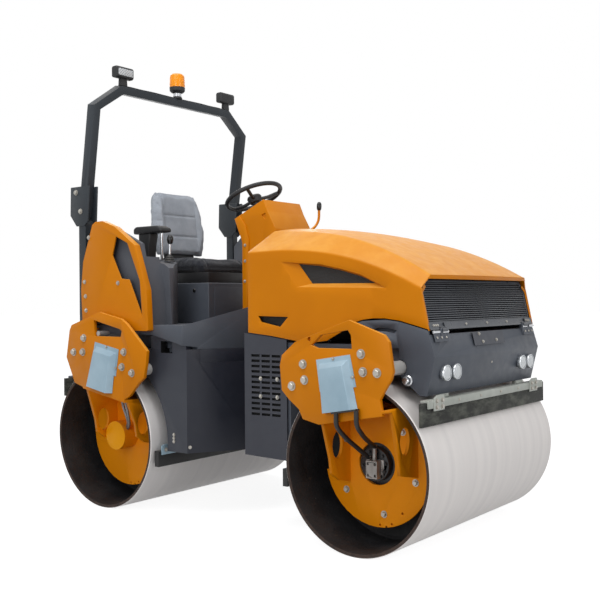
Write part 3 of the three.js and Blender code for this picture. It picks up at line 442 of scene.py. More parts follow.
class Growth(Nodes):
    """A node tree that sets a solid on each point of a piece, in a given finish."""

    def __init__(self, name, *sizes):
        super().__init__(bpy.data.node_groups.new(name, "GeometryNodeTree"))
        for label, kind in (("Seats", "Geometry"), *((size, "Float") for size in sizes),
                            ("Finish", "Material")):
            self.tree.interface.new_socket(label, in_out="INPUT", socket_type=f"NodeSocket{kind}")
        self.tree.interface.new_socket("Made", in_out="OUTPUT", socket_type="NodeSocketGeometry")
        self.given = self.tree.nodes.new("NodeGroupInput").outputs

    def maths(self, kind, *values):
        return self.add("ShaderNodeMath", dict(enumerate(values)), operation=kind)

    def settled(self, instances):
        """The tree, with its instances made real and given their finish."""
        real = self.add("GeometryNodeRealizeInstances", {0: instances})
        done = self.add("GeometryNodeSetMaterial", {"Geometry": real,
                                                    "Material": self.given["Finish"]})
        self.put(self.tree.nodes.new("NodeGroupOutput"), {0: done})
        return self.tree


def bolt_tree():
    """Sets a washer and a hexagon head on each seat, square to the surface there."""
    t = Growth("hexagon_bolts", "Head radius", "Head height", "Washer radius", "Washer height")
    wide, high = t.given["Head radius"], t.given["Head height"]

    def stacked(kind, sides, radii, height, bottom, middle):
        """A short solid standing on bottom, and its top; middle is where its origin lies."""
        solid = t.add(kind, {"Vertices": sides, "Depth": height, **radii})
        up = t.add("ShaderNodeCombineXYZ", {"Z": t.maths("MULTIPLY_ADD", height, middle, bottom)})
        return (t.add("GeometryNodeTransform", {"Geometry": solid, "Translation": up}),
                t.maths("ADD", height, bottom))

    washer, washer_top = stacked("GeometryNodeMeshCylinder", 20,
                                 {"Radius": t.given["Washer radius"]}, t.given["Washer height"],
                                 0.0, 0.5)
    head, head_top = stacked("GeometryNodeMeshCylinder", 6, {"Radius": wide},
                             t.maths("MULTIPLY", high, 0.8), washer_top, 0.5)
    crown, _ = stacked("GeometryNodeMeshCone", 6, {"Radius Bottom": wide,
                                                   "Radius Top": t.maths("MULTIPLY", wide, 0.84)},
                       t.maths("MULTIPLY", high, 0.2), head_top, 0.0)
    facing = t.add("GeometryNodeInputNamedAttribute", {"Name": "facing"}, "Attribute",
                   data_type="FLOAT_VECTOR")
    placed = t.add("GeometryNodeInstanceOnPoints", {
        "Points": t.given["Seats"],
        "Instance": t.add("GeometryNodeJoinGeometry", {0: [washer, head, crown]}),
        "Rotation": t.add("FunctionNodeAlignRotationToVector", {"Vector": facing}, axis="Z")})
    chance = t.add("FunctionNodeRandomValue", {3: 6.28, "Seed": 7}, 1, data_type="FLOAT")
    return t.settled(t.add("GeometryNodeRotateInstances", {
        "Instances": placed, "Rotation": t.add("ShaderNodeCombineXYZ", {"Z": chance})}))


def grown(piece, tree, values):
    """Runs a node tree on a piece and keeps its result as plain mesh."""
    step = piece.modifiers.new(tree.name, "NODES")
    step.node_group = tree
    for socket in tree.interface.items_tree:
        if socket.in_out == "INPUT" and socket.name in values:
            step[socket.identifier] = values[socket.name]
    return settle(piece)


BOLT_TREE = bolt_tree()
PLATED = coat("plated_bolts", (186, 183, 176), (156, 151, 143), 0.36, metallic=0.6)


def bolts(name, body, seats, head, high, washer, thin=0.003, slot="bright_steel",
          finish=PLATED):
    """Hexagon bolts; a seat is a point and the direction that its head faces."""
    piece = new_piece(name, [place for place, _ in seats], [], smooth=False)
    facing = piece.data.attributes.new("facing", "FLOAT_VECTOR", "POINT")
    facing.data.foreach_set("vector", [v for _, way in seats for v in way])
    grown(piece, BOLT_TREE, {"Head radius": head, "Head height": high, "Washer radius": washer,
                             "Washer height": thin, "Finish": finish})
    return fit(by_angle(piece, 30), body, slot)


# The yellow's tan on level faces is partly dust and partly painted top light: settled lays a third
# of it evenly on every upward face.
YELLOW = coat("yellow_paint", (212, 127, 3), (203, 119, 2), 0.38, dust_and_top_light=(243, 186, 88),
              most_dust_and_top_light=0.62, settled=0.34, gleam=0.14)
# A lighter copy of the yellow: painted light on the yokes' faces inside the drum, which lie in
# shade.
YELLOW_PAINTED_LIGHT = coat("yellow_paint_inside", (246, 152, 12), (234, 140, 8), 0.4, gleam=0.14)
# A still lighter yellow: painted light on the rear hub cap, deep in the drum's shade.
HUB_CAP_PAINTED_LIGHT = coat("hub_cap_paint", (252, 172, 10), (244, 160, 8), 0.4, gleam=0.14)
HANDS = (("right", -1), ("left", 1))
AXLE_X, AXLE_Z = 0.875, 0.4
bracket_face, disc_face, shoulder_face = 0.7, 0.46, 0.499
# bolts and drillings are (along, up) from the axle, on the outer bracket and on the disc
bracket_bolts = {"front": [(-0.250, 0.477), (-0.242, 0.403), (-0.318, 0.371), (0.080, 0.534),
                           (0.090, 0.454), (0.165, 0.453)],
                 "rear": [(0.099, 0.568), (0.109, 0.487), (0.190, 0.485), (-0.244, 0.497),
                          (-0.227, 0.414), (-0.308, 0.384)]}
disc_bolts = [(-0.176, -0.140), (0.039, -0.233), (0.213, -0.066), (0.146, 0.162)]
drilled = [(0.015, -0.287), (0.05, -0.292), (0.081, -0.275), (0.140, -0.217)]


def open_up_front(yoke, side):
    """The front yoke's rib window, cut-away foot, tie hole and stepped disc."""
    rib_back, rib_face, before_rib, past_rib = 1.0872, 1.1028, 1.07, (0.05, 0, 0)

    def rib(name, outline, x, push):
        return slab(name, [(x, side * y, z) for y, z in outline], push)

    carve(yoke, [rib("old_window", [(0.518, 0.415), (0.612, 0.415), (0.612, 0.560),
                                    (0.518, 0.560)], rib_back, (rib_face - rib_back, 0, 0))],
          "UNION")
    return [
        rib("window", ellipse(0.575, 0.541, 0.040, 0.063, 32), before_rib, past_rib),
        rib("foot", [(0.4602, 0.25), (0.4602, 0.358), (0.68, 0.404), (0.68, 0.25)], before_rib,
            past_rib),
        side_slab("tie_hole", ellipse(0.663, 0.995, 0.011, 0.011), side * 0.67, side * 0.71),
        side_slab("disc_shoulder", [(0.40, 0.345), (0.7068, 0.345), (0.7068, 0.80), (0.40, 0.80)],
                  side * 0.43, side * 0.4608)]


def drum_yoke(end, way, hand, side):
    middle, out = way * AXLE_X, (0, side, 0)
    yoke = eased_edges(solid_copy(f"{end}_yoke_{hand}_plates", f"{end}_yoke_{hand}", YELLOW,
                                  YELLOW_PAINTED_LIGHT, HUB_CAP_PAINTED_LIGHT), 0.003)
    holes = [side_slab(f"hole_{i}", ellipse(middle + x, AXLE_Z + z, 0.006, 0.006, 12),
                       side * 0.43, side * 0.47) for i, (x, z) in enumerate(drilled)]
    carve(yoke, holes + open_up_front(yoke, side) if end == "front" else holes)
    # Faces within the drum take the lighter yellow, as painted light against the drum's shade.
    paint_where(yoke, 1, lambda c: math.hypot(c.x - middle, c.z - AXLE_Z) < 0.38
                and abs(c.y) < 0.6)
    # The rear hub cap takes the lightest yellow, as painted light.
    if end == "rear":
        paint_where(yoke, 2, lambda c: math.hypot(c.x - middle, c.z - AXLE_Z) < 0.09
                    and 0.545 < abs(c.y) < 0.6)
    fit(by_angle(yoke, 35), f"{end}_unit", "yellow_paint", f"{end}_yoke_{hand}")
    bolts(f"{end}_bracket_bolts_{hand}", f"{end}_unit",
          [((middle + way * u, side * bracket_face, AXLE_Z + w), out)
           for u, w in bracket_bolts[end]], head=0.0165, high=0.013, washer=0.022)
    if end == "front":
        bolts(f"front_disc_bolts_{hand}", "front_unit",
              [((0.7232, side * shoulder_face, 0.511), (1, 0, 0))]
              + [((middle + x, side * disc_face, AXLE_Z + z), out) for x, z in disc_bolts],
              head=0.0125, high=0.010, washer=0.017)


for end, way in (("front", 1), ("rear", -1)):
    for hand, side in HANDS:
        drum_yoke(end, way, hand, side)


# ------------------------------------------------------------------ drum drive
# A hydraulic motor drives the front drum through each disc. Its zinc-plated port block takes
# two pressure hoses, which come round the bracket's edge out of a rubber gland.
RUBBER = coat("hose_rubber", (30, 29, 29), (20, 20, 21), 0.5)
BLACK_METAL = coat("black_metal", (34, 34, 36), (24, 24, 26), 0.5)
CAST = coat("port_zinc", (158, 154, 150), (128, 124, 120), 0.42, metallic=0.4, scale=12)


def smooth_path(knots, steps):
    """A smooth path through knots, as points spread evenly from knot to knot."""
    knots = [Vector(k) for k in knots]
    knots = [2 * knots[0] - knots[1]] + knots + [2 * knots[-1] - knots[-2]]
    times = [0.0]
    for a, b in zip(knots, knots[1:]):
        times.append(times[-1] + math.sqrt((b - a).length))
    path = []
    for at in np.linspace(times[1], times[-2], steps):
        i = min(max(np.searchsorted(times, at, side="right") - 1, 1), len(knots) - 3)
        t0, t1, t2, t3 = times[i - 1:i + 3]
        p0, p1, p2, p3 = knots[i - 1:i + 3]
        a = p0.lerp(p1, (at - t0) / (t1 - t0))
        b = p1.lerp(p2, (at - t1) / (t2 - t1))
        c = p2.lerp(p3, (at - t2) / (t3 - t2))
        path.append(a.lerp(b, (at - t0) / (t2 - t0)).lerp(b.lerp(c, (at - t1) / (t3 - t1)),
                                                         (at - t1) / (t2 - t1)))
    return path


def tube(name, path, radius, material, sides):
    """A round tube along a path, closed at both ends."""
    loops, side = [], (path[1] - path[0]).orthogonal().normalized()
    for i, at in enumerate(path):
        ahead = (path[min(i + 1, len(path) - 1)] - path[max(i - 1, 0)]).normalized()
        side = (side - ahead * side.dot(ahead)).normalized()
        other = ahead.cross(side)
        loops.append([at + (side * math.cos(t) + other * math.sin(t)) * radius
                      for t in about(sides)])
    return by_angle(lofted(name, loops, material), 40)


hose_routes = {
    "rear": [(0.831, 0.723, 0.6658), (0.828, 0.714, 0.606), (0.834, 0.658, 0.548),
             (0.846, 0.576, 0.487), (0.855, 0.500, 0.433)],
    "fore": [(0.942, 0.723, 0.6846), (0.939, 0.714, 0.618), (0.930, 0.658, 0.566),
             (0.908, 0.576, 0.523), (0.889, 0.500, 0.487)],
}
ends_at = {"rear": (0.855, 0.4233, 0.441), "fore": (0.889, 0.4233, 0.495)}
port_block_x, port_block_face = 0.883, 0.4802
for hand, side in HANDS:
    motor = eased_edges(solid_copy(f"drum_motor_{hand}", f"front_drum_motor_{hand}",
                                   BLACK_METAL, CAST), 0.002)
    for vertex in motor.data.vertices:
        if abs(vertex.co.y) > port_block_face:
            vertex.co.x = port_block_x + (vertex.co.x - port_block_x) * 0.74
    carve(motor, [side_slab(f"port_{x}_{z}", ellipse(x, z, 0.0075, 0.0075, 16), side * 0.505,
                            side * 0.53) for x in (0.863, 0.903) for z in (0.354, 0.408)])
    paint_where(motor, 1, lambda c: abs(c.y) > port_block_face)
    fit(by_angle(motor, 35), "front_unit", "dark_grey_paint", f"front_drum_motor_{hand}")
    bolts(f"motor_bolts_{hand}", "front_unit",
          [((AXLE_X + 0.064 * math.cos(t), side * 0.48, AXLE_Z + 0.064 * math.sin(t)),
            (0, side, 0)) for t in (-0.45, 0.15, 0.75, 1.35, 2.0, 3.3, 4.0, 4.7, 5.3)],
          0.0075, 0.008, 0.010, 0.002, "black_metal", BLACK_METAL)
    for name, route in hose_routes.items():
        path = smooth_path([(x, side * y, z) for x, y, z in route], 28)
        hose = tube(f"{name}_hose_{hand}", path, 0.011, RUBBER, 18)
        fit(hose, "front_unit", "hose_rubber", f"front_hoses_{hand}")
        x, low, high = ends_at[name]
        nut = spun(f"{name}_hose_nut_{hand}", [
            (0.0, 0.0), (0.0095, 0.0), (0.0100, 0.001), (0.0100, high - low - 0.006),
            (0.0125, high - low - 0.004), (0.0125, high - low), (0.0, high - low)],
            (x, side * 0.5, low), (0, 0, 1), 20, CAST)
        fit(nut, "front_unit", "zinc_plate", f"front_hoses_{hand}")
    plate(f"hose_gland_{hand}", [(x, side * 0.706, z) for x, z in (
        (0.813, 0.6677), (0.949, 0.6907), (0.949, 0.6827), (0.813, 0.6597))],
        (0, side * 0.034, 0), RUBBER, 0.002, "front_unit", "hose_rubber", f"front_hoses_{hand}")


# ------------------------------------------------------------------ rear hub hoses
# Two hoses drop from each rear bracket's shelf to the vibrator's hub. They are rubber under a
# woven steel braid, and hang free between their fittings.
def braid():
    """Fine crossed steel wires over the rubber."""
    f = Finish("steel_braid", 0.4, 0.5)
    wire = 2 * math.pi / 2600
    weave = f.maths("MULTIPLY", f.wave(f.axis("Z"), wire), f.wave(f.axis("X"), wire))
    f.colour(f.mix(f.ramp(weave, -1, 1), (150, 150, 150), (98, 98, 100)))
    f.bump(weave, 0.0005, 0.6)
    return f.material


BRAID = braid()
for hand, side in HANDS:
    for i, back in enumerate((0.0, 0.026)):
        path = smooth_path([(x, side * y, z) for x, y, z in (
            (-0.782 + back, 0.585, 0.662), (-0.781 + back, 0.588, 0.620),
            (-0.768 + back, 0.588, 0.570), (-0.762 + back * 0.6, 0.572, 0.518),
            (-0.782 + back * 0.4, 0.545, 0.478 - back * 0.4),
            (-0.812, 0.527, 0.452 - back * 0.6))], 24)
        hose = tube(f"hub_hose_{hand}_{i}", path, 0.0075, BRAID, 12)
        fit(hose, "rear_unit", "hose_rubber")


# ------------------------------------------------------------------ hose covers
# A folded zinc-plated box over the hoses on each bracket: a sloped top, straight cheeks that
# deepen downwards, an open foot and a narrow flange held by small screws.
ZINC = coat("zinc_plate", (164, 188, 202), (138, 163, 178), 0.34, grain=0.0, most_dust_and_top_light=0.0, scale=4,
            metallic=0.25)
covers = {"front": [(0.703, 0.900), (0.895, 0.930), (0.950, 0.690), (0.738, 0.654)],
          "rear": [(-0.875, 0.948), (-0.673, 0.910), (-0.715, 0.660), (-0.937, 0.702)]}


def folded_cover(name, outline, side):
    top_left, top_right, low_right, low_left = (np.array(p) for p in outline)

    def at(across, down, out):
        x, z = ((1 - across) * ((1 - down) * top_left + down * low_left)
                + across * ((1 - down) * top_right + down * low_right))
        return (x, side * out, z)

    flat, high, deep = 0.7013, 0.7290, 0.7390
    points = [at(0, 0, flat), at(1, 0, flat), at(1, 0.60, flat), at(0, 0.60, flat),
              at(0.085, 0.085, flat), at(0.915, 0.085, flat), at(0.925, 0.995, flat),
              at(0.075, 0.995, flat), at(0.145, 0.185, high), at(0.800, 0.185, high),
              at(0.845, 0.995, deep), at(0.125, 0.995, deep), at(0.925, 0.60, flat),
              at(0.075, 0.60, flat)]
    faces = [(0, 1, 5, 4), (1, 2, 12, 5), (0, 4, 13, 3), (4, 5, 9, 8), (5, 12, 6, 10, 9),
             (7, 13, 4, 8, 11), (8, 9, 10, 11)]
    piece = new_piece(name, points, faces, ZINC)
    fold = piece.modifiers.new("fold", "BEVEL")
    fold.width, fold.segments = 0.003, 3
    fold.limit_method, fold.angle_limit = "ANGLE", math.radians(15)
    sheet = piece.modifiers.new("sheet", "SOLIDIFY")
    sheet.thickness, sheet.offset = 0.0018, 0
    return by_angle(closed_up(settle(piece)), 30), at


for end, outline in covers.items():
    for hand, side in HANDS:
        cover, at = folded_cover(f"{end}_hose_cover_{hand}", outline, side)
        fit(cover, f"{end}_unit", "zinc_plate", f"{end}_yoke_cover_{hand}")
        bolts(f"{end}_cover_screws_{hand}", f"{end}_unit",
              [(at(u, d, 0.7022), (0, side, 0))
               for u, d in ((0.037, 0.5), (0.963, 0.42), (0.5, 0.03))],
              head=0.0062, high=0.005, washer=0.0085, thin=0.0012)


# ------------------------------------------------------------------ frames and centre joint
# Two boxes of grey plate, joined by a pivot block that steers and rocks, with a double-acting
# steering cylinder. Thick bare tubes tie each frame to its brackets.
DARK = coat("dark_grey_paint", (80, 85, 94), (68, 72, 80), 0.45, gleam=0.3)
# A darker copy of the grey, as painted shade: on the rear frame's strip above the tank and on the
# tank's forward faces.
PAINTED_SHADE_GREY = coat("shaded_panel", (42, 44, 53), (34, 36, 45), 0.4, gleam=0.3)
TUBE = coat("tube_paint", (198, 196, 192), (164, 162, 160), 0.42, metallic=0.25)


# Near-black that stands for shade: painted shade in the tank's lashing holes and on the sheets
# behind the louvres and the grille.
def painted_shade_black():
    f = Finish("shadowed_black", 0.8, specular=0.2)
    f.colour(f.mix(f.noise(30, 3), (12, 12, 13), (20, 20, 21)))
    return f.material


def grey_frame(end, shade):
    frame_plates = eased_edges(solid_copy(f"{end}_frame", f"{end}_chassis", DARK, TUBE, RUBBER,
                                          shade), 0.003)
    if end == "front":
        slot = [(0.914, 1.040), (0.958, 1.047), (1.000, 1.046), (1.050, 1.035), (1.035, 1.022),
                (0.985, 1.030), (0.945, 1.030)]
        carve(frame_plates, [side_slab(f"slot_{side}", slot, side * 0.53, side * 0.56)
                             for side in (-1, 1)])
    paint_where(frame_plates, 1, lambda c: abs(c.y) > 0.552 and c.z > 0.7)
    paint_where(frame_plates, 2, lambda c: c.z < 0.33)
    if end == "rear":
        # Painted shade on the rear frame's faces above the tank.
        paint_where(frame_plates, 3, lambda c: c.x > -0.30 and abs(c.y) > 0.2 and c.z > 0.8)
    fit(by_angle(frame_plates, 35), f"{end}_unit", "dark_grey_paint", f"{end}_chassis")


SHADE_BLACK = painted_shade_black()
grey_frame("front", SHADE_BLACK)
grey_frame("rear", PAINTED_SHADE_GREY)
rounded("pivot_block", "pivot_link", "pivot", "dark_grey_paint", DARK)
rounded("steering_barrel", "steer_barrel", "front_unit", "black_metal", BLACK_METAL, 0.002)
BRIGHT = coat("bright_steel", (200, 202, 205), (182, 184, 188), 0.2, grain=0.1, metallic=0.9)
rounded("steering_piston", "steer_rod", "steering_rod", "bright_steel", BRIGHT, 0.001)
for side in (-1, 1):
    plug = spun(f"hitch_plug_{side + 1}", [
        (0.0, 0.0), (0.024, 0.0), (0.024, 0.012), (0.019, 0.016), (0.019, 0.030), (0.015, 0.037),
        (0.0, 0.040)], (1.112, side * 0.550, 0.812), (0, side, 0), 28, BRIGHT)
    fit(plug, "front_unit", "bright_steel")


# ------------------------------------------------------------------ engine
# A water-cooled engine under the hood: a cast block with two rows of studs along its top. Only
# glimpses of it show through the vents.
rounded("engine_case", "engine_block", "front_unit", "black_metal", BLACK_METAL, 0.012, 3)
low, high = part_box("engine_block")
bolts("engine_studs", "front_unit",
      [((x, y, high.z), (0, 0, 1)) for x in np.linspace(low.x + 0.04, high.x - 0.04, 6)
       for y in (low.y + 0.03, high.y - 0.03)], 0.010, 0.009, 0.013, slot="black_metal",
      finish=BLACK_METAL)


# ------------------------------------------------------------------ louvred side panels
# A sheet-steel panel on each side of the engine bay, with rows of pressed louvres, a near-black
# sheet behind them as painted shade for the bay, and a few screws.
def louvre_tree():
    """Puts a hooded lip along the top of each slot."""
    t = Growth("louvre_lips", "Length", "Thickness")
    bar = t.add("GeometryNodeMeshCylinder", {"Vertices": 8, "Radius": t.given["Thickness"],
                                             "Depth": t.given["Length"]})
    lie = t.add("GeometryNodeTransform", {"Geometry": bar, "Rotation": (0, math.pi / 2, 0)})
    return t.settled(t.add("GeometryNodeInstanceOnPoints", {"Points": t.given["Seats"],
                                                            "Instance": lie}))


# The louvre panel's grey is darker than the frame's, as painted shade.
LOUVRE = coat("louvre_grey", (62, 64, 72), (52, 54, 62), 0.48, gleam=0.3)
LIP_TREE = louvre_tree()
slot_long, slot_high, slot_rise, slot_rows, slot_foot = 0.056, 0.014, 0.027, 12, 0.599
slot_columns = (0.195, 0.263, 0.331)
for hand, side in HANDS:
    panel = side_slab(f"louvred_panel_{hand}", [
        (0.400, 0.3782), (0.1202, 0.3850), (0.1202, 1.0085), (0.150, 1.0060), (0.300, 0.9920),
        (0.400, 0.9785)], side * 0.5443, side * 0.5472, LOUVRE)
    punch = bmesh.new()
    for x in slot_columns:
        for row in range(slot_rows):
            bmesh.ops.create_cube(punch, size=1, matrix=Matrix.Translation(
                (x, side * 0.5458, slot_foot + slot_rise * row)) @ Matrix.Diagonal(
                (slot_long, 0.012, slot_high, 1)))
    tool = new_piece("slots", [], [])
    punch.to_mesh(tool.data)
    punch.free()
    carve(panel, [tool])
    fit(by_angle(panel, 30), "front_unit", "dark_grey_paint", f"louvre_panel_{hand}")
    # A near-black sheet behind the slots: painted shade for the bay behind them.
    shade_sheet = side_slab(f"louvre_shade_sheet_{hand}", [(0.135, 0.40), (0.385, 0.40), (0.385, 0.975),
                                               (0.135, 0.985)], side * 0.5365, side * 0.538,
                      SHADE_BLACK)
    fit(shade_sheet, "front_unit", "black_metal", f"louvre_panel_{hand}")
    lip = new_piece(f"louvre_lips_{hand}", [
        (x, side * 0.5468, slot_foot + 0.0078 + slot_rise * row)
        for row in range(slot_rows) for x in slot_columns], [])
    grown(lip, LIP_TREE, {"Length": slot_long, "Thickness": 0.0022, "Finish": LOUVRE})
    fit(by_angle(lip, 50), "front_unit", "dark_grey_paint")
    bolts(f"louvre_screws_{hand}", "front_unit",
          [((x, side * 0.5473, z), (0, side, 0)) for x in (0.229, 0.338)
           for z in (0.780, 0.690)],
          head=0.0075, high=0.006, washer=0.0105, thin=0.0015)


# ------------------------------------------------------------------ end panels
# Folded grey sheet over each drum's outer side. The front one carries the hood's hinges, twin
# work lamps and a thin screwed plate that is left blank.
PLATE = coat("blank_plate_paint", (64, 67, 75), (56, 58, 66), 0.5)


def face_x(z):
    """Where the front panel's face is at a height: it leans out to a knee, then back in."""
    knee = 0.945
    return 1.246 - 0.30 * (z - knee) if z > knee else 1.246 - 0.042 / 0.199 * (knee - z)


nose = solid_copy("front_end_panel", "front_panel", DARK, BRIGHT)
eased_edges(nose, 0.004)
paint_where(nose, 1, lambda c: 1.028 < c.z < 1.046 and c.x > 1.213 and 0.39 < abs(c.y) < 0.47)
fit(by_angle(nose, 30), "front_unit", "dark_grey_paint", "front_panel")
rounded("rear_end_panel", "rear_panel", "rear_unit", "dark_grey_paint", DARK, 0.006, 3)
plate("blank_plate", [(face_x(z) - 0.0005, y, z) for y, z in (
    (-0.160, 1.018), (0.160, 1.018), (0.157, 0.954), (-0.166, 0.954))], (0.0014, 0, 0.0004),
    PLATE, 0.0008, "front_unit", "dark_grey_paint", segments=1)
upper, lower = (0.958, 0, 0.287), (0.978, 0, -0.206)
bolts("nose_bolts", "front_unit",
      [((face_x(1.003), y, 1.003), upper)
       for y in (-0.503, -0.462, -0.421, 0.421, 0.462, 0.503)]
      + [((face_x(z) + 0.0015, y, z), upper)
         for y, z in ((-0.078, 0.970), (0.066, 0.973), (-0.100, 1.008))]
      + [((face_x(0.866), 0.026, 0.866), lower)],
      head=0.0062, high=0.005, washer=0.0085, thin=0.0014)
for y in (-0.462, 0.462):
    plate(f"hinge_leaf_{y > 0}", [(face_x(z), y + dy, z) for dy, z in (
        (-0.062, 1.030), (0.062, 1.030), (0.062, 0.985), (-0.062, 0.985))], (0.0022, 0, 0.0007),
        DARK, 0.0008, "front_unit", "dark_grey_paint", segments=1)
    for a, b in ((-0.066, -0.013), (0.013, 0.066)):
        sleeve = spun(f"hinge_sleeve_{y > 0}_{a > 0}", [
            (0.0, 0.0), (0.0062, 0.0), (0.0068, 0.0008), (0.0068, b - a - 0.0008),
            (0.0062, b - a), (0.0, b - a)], (1.2262, y + a, 1.0295), (0, 1, 0), 16, BRIGHT)
        fit(sleeve, "front_unit", "bright_steel")


# ------------------------------------------------------------------ work lamps
# Round lamps in pairs on the front panel: a bright bezel and a fluted, slightly domed lens,
# on a small black bracket that is bolted to the sheet.
def lamp_lens():
    f = Finish("lamp_lens", 0.12, coat=0.6)
    flutes = f.wave(f.axis("Y"), 0.006)
    f.colour(f.mix(f.ramp(flutes, -1, 1), (226, 230, 232), (196, 201, 205)))
    f.bump(flutes, 0.0006, 0.6)
    return f.material


LENS = lamp_lens()
BEZEL = coat("lamp_bezel", (206, 209, 212), (184, 188, 192), 0.22, grain=0.1, metallic=0.8)
for hand, side in HANDS:
    for i, y in enumerate((side * 0.352, side * 0.446)):
        start = (face_x(0.845) - 0.002, y, 0.845)
        bezel = spun(f"lamp_{hand}_{i}_bezel", [
            (0.0, 0.0), (0.027, 0.0), (0.0365, 0.010), (0.0375, 0.014), (0.0375, 0.026),
            (0.0355, 0.030), (0.0325, 0.030), (0.0320, 0.022), (0.0, 0.022)], start, (1, 0, 0), 40,
            BEZEL)
        lens = spun(f"lamp_{hand}_{i}_lens", [
            (0.0, 0.0225), (0.0318, 0.0225), (0.0318, 0.0275), (0.027, 0.0305), (0.016, 0.0325),
            (0.0, 0.0332)], start, (1, 0, 0), 40, LENS)
        for piece in (bezel, lens):
            fit(piece, "front_unit", "lamp_lens", f"headlamps_{hand}")
    plate(f"lamp_bracket_{hand}", [(face_x(z) - 0.001, side * y, z) for y, z in (
        (0.33, 0.868), (0.47, 0.868), (0.47, 0.822), (0.33, 0.822))], (0.007, 0, -0.0015),
        BLACK_METAL, 0.002, "front_unit", "black_metal", f"headlamps_{hand}")


# ------------------------------------------------------------------ end scrapers
# A rubber blade hangs off a folded bar outside each drum and wipes it. Clamps with four bolts
# hold the bar to hangers under the end panel.
def wiped_rubber():
    """Black rubber, chalky where asphalt and water have dried on it."""
    f = Finish("scraper_rubber", 0.75, specular=0.3)
    mud = f.ramp(f.noise(16, 7, (1, 0.6, 1.6), 0.65), 0.45, 0.68, 0.0, 0.8)
    f.colour(f.mix(mud, f.mix(f.noise(3, 4), (52, 53, 50), (38, 38, 37)), (104, 106, 98)))
    f.bump(f.noise(90, 5), 0.0012)
    return f.material


BAR = coat("scraper_grey", (184, 187, 180), (160, 164, 157), 0.5, dust_and_top_light=(120, 112, 100),
           most_dust_and_top_light=0.45, scale=6)
WIPER = wiped_rubber()
for end, way, paint, slot in (("front", 1, BAR, "scraper_grey"),
                              ("rear", -1, DARK, "dark_grey_paint")):
    body, node = f"{end}_unit", f"{end}_scraper"

    def upright(name, x, y, outline, thick, width):
        """A plate across the machine, drawn as (sideways, up) about y."""
        plate(f"{end}_scraper_{name}", [(way * x, y + d, z) for d, z in outline],
              (way * thick, 0, 0), paint, width, body, slot, node)

    plate(f"{end}_scraper_bar", [(way * x, -0.605, z) for x, z in (
        (1.202, 0.732), (1.246, 0.732), (1.246, 0.696), (1.236, 0.696), (1.236, 0.722),
        (1.202, 0.722))], (0, 1.210, 0), paint, 0.002, body, slot, node)
    plate(f"{end}_scraper_blade", [(way * x, y, z) for x, y, z in (
        (1.218, -0.645, 0.7206), (1.218, 0.645, 0.7206), (1.2185, 0.645, 0.6172),
        (1.2185, -0.645, 0.6172))], (way * 0.0155, 0, 0), WIPER, 0.0015, body, "hose_rubber", node)
    for y in (-0.4, 0.4):
        upright(f"hanger_{y > 0}", 1.182, y, [(-0.04, 0.7457), (0.04, 0.7457), (0.04, 0.722),
                                              (-0.04, 0.722)], 0.026, 0.002)
    seats = []
    for y in (-0.520, 0.480):
        upright(f"clamp_{y > 0}", 1.246, y, [(-0.046, 0.742), (-0.020, 0.752), (0.040, 0.752),
                                             (0.046, 0.742), (0.046, 0.684), (-0.046, 0.684)],
                0.005, 0.0012)
        seats += [((way * 1.251, y + d, z), (way, 0, 0)) for d in (-0.024, 0.024)
                  for z in (0.700, 0.728)]
    bolts(f"{end}_scraper_bolts", body, seats, 0.0085, 0.007, 0.0115, 0.0015)
    bolts(f"{end}_scraper_screws", body,
          [((way * 1.246, y, 0.714), (way, 0, 0)) for y in (-0.33, -0.115, 0.10, 0.30)],
          0.0055, 0.004, 0.0075, 0.001)


# ------------------------------------------------------------------ hood
# A pressed steel cover, hinged at its front edge: flat sides, a broad slanted shoulder and a
# slightly crowned roof that falls to the grille. Both vents have a sunk surround and black mesh.
def through(knots, at):
    """A smooth curve through knots of (distance, value, ...), read at one distance."""
    table = np.array(sorted(knots))
    s, v = table[:, 0], table[:, 1:]
    slope = np.gradient(v, s, axis=0)
    i = int(np.clip(np.searchsorted(s, at) - 1, 0, len(s) - 2))
    h = s[i + 1] - s[i]
    t = (at - s[i]) / h
    return ((2 * t ** 3 - 3 * t ** 2 + 1) * v[i] + (t ** 3 - 2 * t ** 2 + t) * h * slope[i]
            + (3 * t ** 2 - 2 * t ** 3) * v[i + 1] + (t ** 3 - t ** 2) * h * slope[i + 1])


def eased(corner_a, corner, corner_b, radius, steps):
    """The corner between two lines, turned on a short curve."""
    a, c, b = (np.array(p, float) for p in (corner_a, corner, corner_b))
    start = c + (a - c) / np.linalg.norm(a - c) * radius
    end = c + (b - c) / np.linalg.norm(b - c) * radius
    return [(1 - t) ** 2 * start + 2 * t * (1 - t) * c + t ** 2 * end
            for t in np.linspace(0, 1, steps)]


def mirrored(half):
    """A half outline of (across, up) that ends on the middle, with its mirror image."""
    return half + [(-y, z) for y, z in reversed(half[:-1])]


hinge_x, hinge_z, hood_half, hood_wall = 1.222, 1.036, 0.55, 0.006
# each knot is a distance ahead of the hinge, then the side's height, the roof's set-in, and the
# heights of its crease and of its middle
hood_knots = [(-1.072, 0.386, 0.219, 0.508, 0.536), (-0.822, 0.389, 0.165, 0.492, 0.516),
              (-0.602, 0.371, 0.126, 0.464, 0.482), (-0.372, 0.322, 0.094, 0.406, 0.416),
              (-0.172, 0.250, 0.070, 0.326, 0.331), (0.018, 0.160, 0.050, 0.226, 0.228)]


